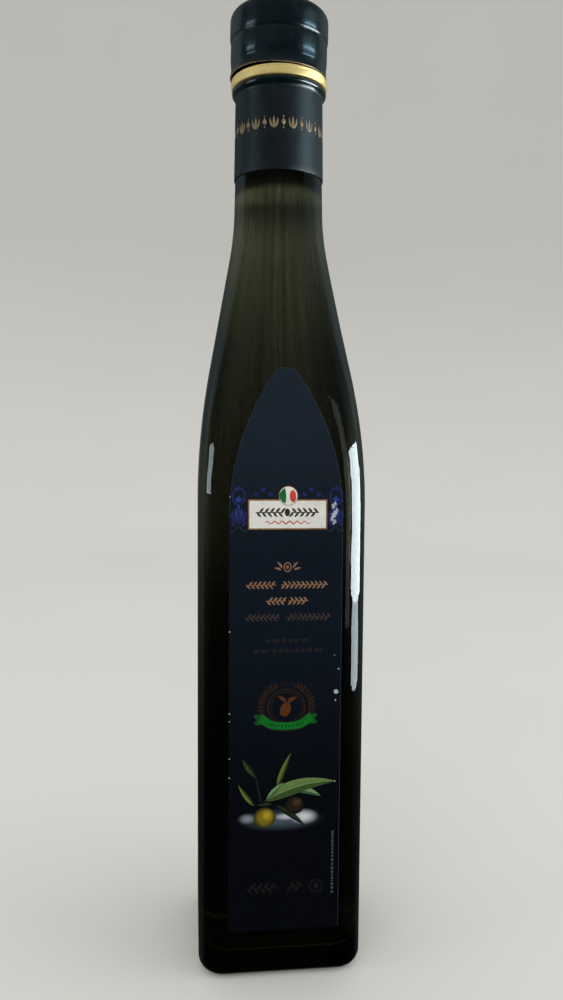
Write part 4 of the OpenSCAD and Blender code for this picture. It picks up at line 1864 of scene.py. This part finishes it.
@dataclass
class Studio:
    """Pale seamless floor, soft light all round, and the camera."""

    flat_r: float = 0.95
    sweep_r: float = 0.6
    wall_h: float = 2.4
    camera_at: tuple[float, float, float] = (0.001815, -0.2879, 0.1797)
    pitch: float = 4.441
    roll: float = 0.411
    yaw: float = 6.204
    lens: float = 29.53
    sensor: float = 36.0

    def floor(self) -> None:
        """Builds the round floor, which curves up into a wall all round."""
        profile = [(0.0, 0.0), (0.3, 0.0), (self.flat_r, 0.0)]
        profile += arc((self.flat_r, self.sweep_r), self.sweep_r, -84, 0, 14)
        profile += [(self.flat_r + self.sweep_r, self.wall_h)]
        mesh = lathe(profile, 96, 1.0, closed=False)
        bmesh.ops.reverse_faces(mesh, faces=mesh.faces)
        data = bpy.data.meshes.new("studio_floor")
        for face in mesh.faces:
            face.smooth = True
        mesh.to_mesh(data)
        mesh.free()
        floor = bpy.data.objects.new("studio_floor", data)
        bpy.context.scene.collection.objects.link(floor)
        material, shader, surface = new_material("pale_floor")
        noise = shader.add("TexNoise", Scale=14.0, Detail=3.0)
        tone = shader.mix(noise.outputs["Fac"], (0.68, 0.67, 0.64), (0.72, 0.71, 0.68))
        shader.link(tone, surface.inputs["Base Color"])
        set_inputs(surface, Roughness=0.9, Specular_IOR_Level=0.1)
        data.materials.append(material)
        floor.visible_glossy = floor.visible_diffuse = False
        floor.visible_shadow = floor.visible_transmission = False

    def lights(self) -> None:
        """Builds the soft lights. A shine light reaches only its own collection of pieces."""
        for shine in Rays:
            if shine is not Rays.FILL:
                bpy.data.collections.new(shine.value)
        plan = (
            SoftLight("front_fill", -25.0, 1.1, 0.35, 1.15, 0.9, 0.9, (1.0, 0.97, 0.93), Rays.FILL),
            SoftLight("right_fill", 75.0, 1.0, 0.15, 1.0, 0.8, 1.3, (0.92, 0.97, 1.0), Rays.FILL),
            SoftLight("left_fill", -80.0, 1.0, 0.15, 1.0, 0.6, 0.6, (0.92, 0.97, 1.0), Rays.FILL),
            SoftLight("right_window", 72.6, 0.45, 0.040, 0.265, 0.38, 13.0, (0.82, 0.95, 1.0), Rays.POLISHED),
            SoftLight("right_sill", 72.6, 0.45, -0.035, 0.040, 0.29, 6.0, (0.78, 0.93, 1.0), Rays.POLISHED),
            SoftLight("right_pane", 33.0, 0.45, 0.02, 0.36, 0.16, 0.40, (0.96, 1.0, 0.95), Rays.GLASS),
            SoftLight("right_bar", 40.0, 0.45, 0.075, 0.235, 0.05, 1.1, (0.80, 1.0, 0.78), Rays.GLASS),
            SoftLight("left_window", -75.0, 0.44, 0.16, 0.275, 0.17, 3.6, (0.80, 0.94, 1.0), Rays.POLISHED),
            SoftLight("right_upper", 68.0, 0.44, 0.440, 0.465, 0.24, 12.5, (0.42, 0.78, 1.0), Rays.CLOSURE),
            SoftLight("left_upper", -73.0, 0.44, 0.440, 0.465, 0.16, 4.5, (0.60, 0.88, 1.0), Rays.CLOSURE),
            SoftLight("right_gold", 92.0, 0.44, 0.43, 0.56, 0.22, 15.0, (1.0, 0.97, 0.88), Rays.GOLD),
        )
        for light in plan:
            made = light.build()
            if light.rays is not Rays.FILL:
                made.light_linking.receiver_collection = bpy.data.collections[light.rays.value]

    def world(self) -> None:
        """Sets a pale surround, which glass and polished surfaces see as a dark room with a faint glow."""
        world = bpy.data.worlds.new("studio")
        world.use_nodes = True
        shader = Shader(world.node_tree)
        back = world.node_tree.nodes["Background"]
        path = shader.add("LightPath")
        x, y, z = shader.add("SeparateXYZ", Vector=shader.add("TexCoord").outputs["Generated"]).outputs
        right = shader.mix(shader.ramp(x, 0.80, 0.97), (0.008, 0.017, 0.019), (0.13, 0.19, 0.20))
        wall = shader.mix(shader.ramp(y, 0.40, 0.95), (0.20, 0.27, 0.28), (0.07, 0.085, 0.085))
        mirrored = shader.mix(shader.ramp(y, 0.16, 0.30), right, wall)
        behind = shader.mix(shader.ramp(x, -0.35, 0.5), (0.30, 0.33, 0.32), (0.50, 0.53, 0.50))
        seen = shader.mix(shader.ramp(y, -0.05, 0.5), (0.035, 0.04, 0.035), behind)
        seen = shader.mix(shader.ramp(x, 0.40, 0.85), seen, (0.46, 0.48, 0.43))
        seen = shader.mix(shader.ramp(z, 0.04, 0.30), seen, (0.075, 0.09, 0.095))
        seen = shader.mix(shader.ramp(z, -0.22, -0.06, 0.25, 1.0), BLACK, seen)
        around = shader.mix(path.outputs["Is Transmission Ray"], mirrored, seen)
        above = shader.mix(shader.ramp(z, 0.3, 0.8), around, (0.12, 0.13, 0.125))
        polished = shader.mix(shader.ramp(z, -0.42, 0.0, 0.2, 1.0), BLACK, above)
        soft = shader.mix(shader.ramp(z, -0.3, 0.3, 0.45, 1.0), BLACK, (0.84, 0.84, 0.82))
        clear = shader.math("MAXIMUM", path.outputs["Is Glossy Ray"], path.outputs["Is Transmission Ray"])
        shader.link(shader.mix(clear, soft, polished), back.inputs["Color"])
        bpy.context.scene.world = world

    def camera(self) -> None:
        """Places the camera, level with the shoulder and looking slightly down."""
        data = bpy.data.cameras.new("camera")
        data.lens, data.sensor_width, data.sensor_fit = self.lens, self.sensor, "AUTO"
        data.clip_start, data.clip_end = 0.01, 20.0
        made = bpy.data.objects.new("camera", data)
        pitch, roll = math.radians(self.pitch), math.radians(self.roll)
        forward = Vector((0.0, math.cos(pitch), -math.sin(pitch)))
        level, right = Vector((0.0, math.sin(pitch), math.cos(pitch))), Vector((1.0, 0.0, 0.0))
        across = right * math.cos(roll) + level * math.sin(roll)
        up = level * math.cos(roll) - right * math.sin(roll)
        look = Matrix((across, up, -forward)).transposed().to_4x4()
        look.translation = Vector(self.camera_at)
        made.matrix_world = Matrix.Rotation(math.radians(-self.yaw), 4, "Z") @ look
        bpy.context.scene.collection.objects.link(made)
        bpy.context.scene.camera = made

    def build(self) -> None:
        """Builds the whole stage."""
        self.camera()
        self.floor()
        self.world()
        self.lights()


def main() -> None:
    """Builds the stage and every piece."""
    logging.basicConfig(level=logging.INFO, format="%(name)s %(message)s")
    bpy.context.scene.view_settings.view_transform = "Standard"
    Studio().build()
    form = BottleForm()
    shop = Workshop(EffectGroups())
    for assembly in (Bottle(shop, form), Closure(shop), Label(shop, form)):
        assembly.build()
        LOG.info("%s is built", type(assembly).__name__)


if __name__ == "__main__":
    main()
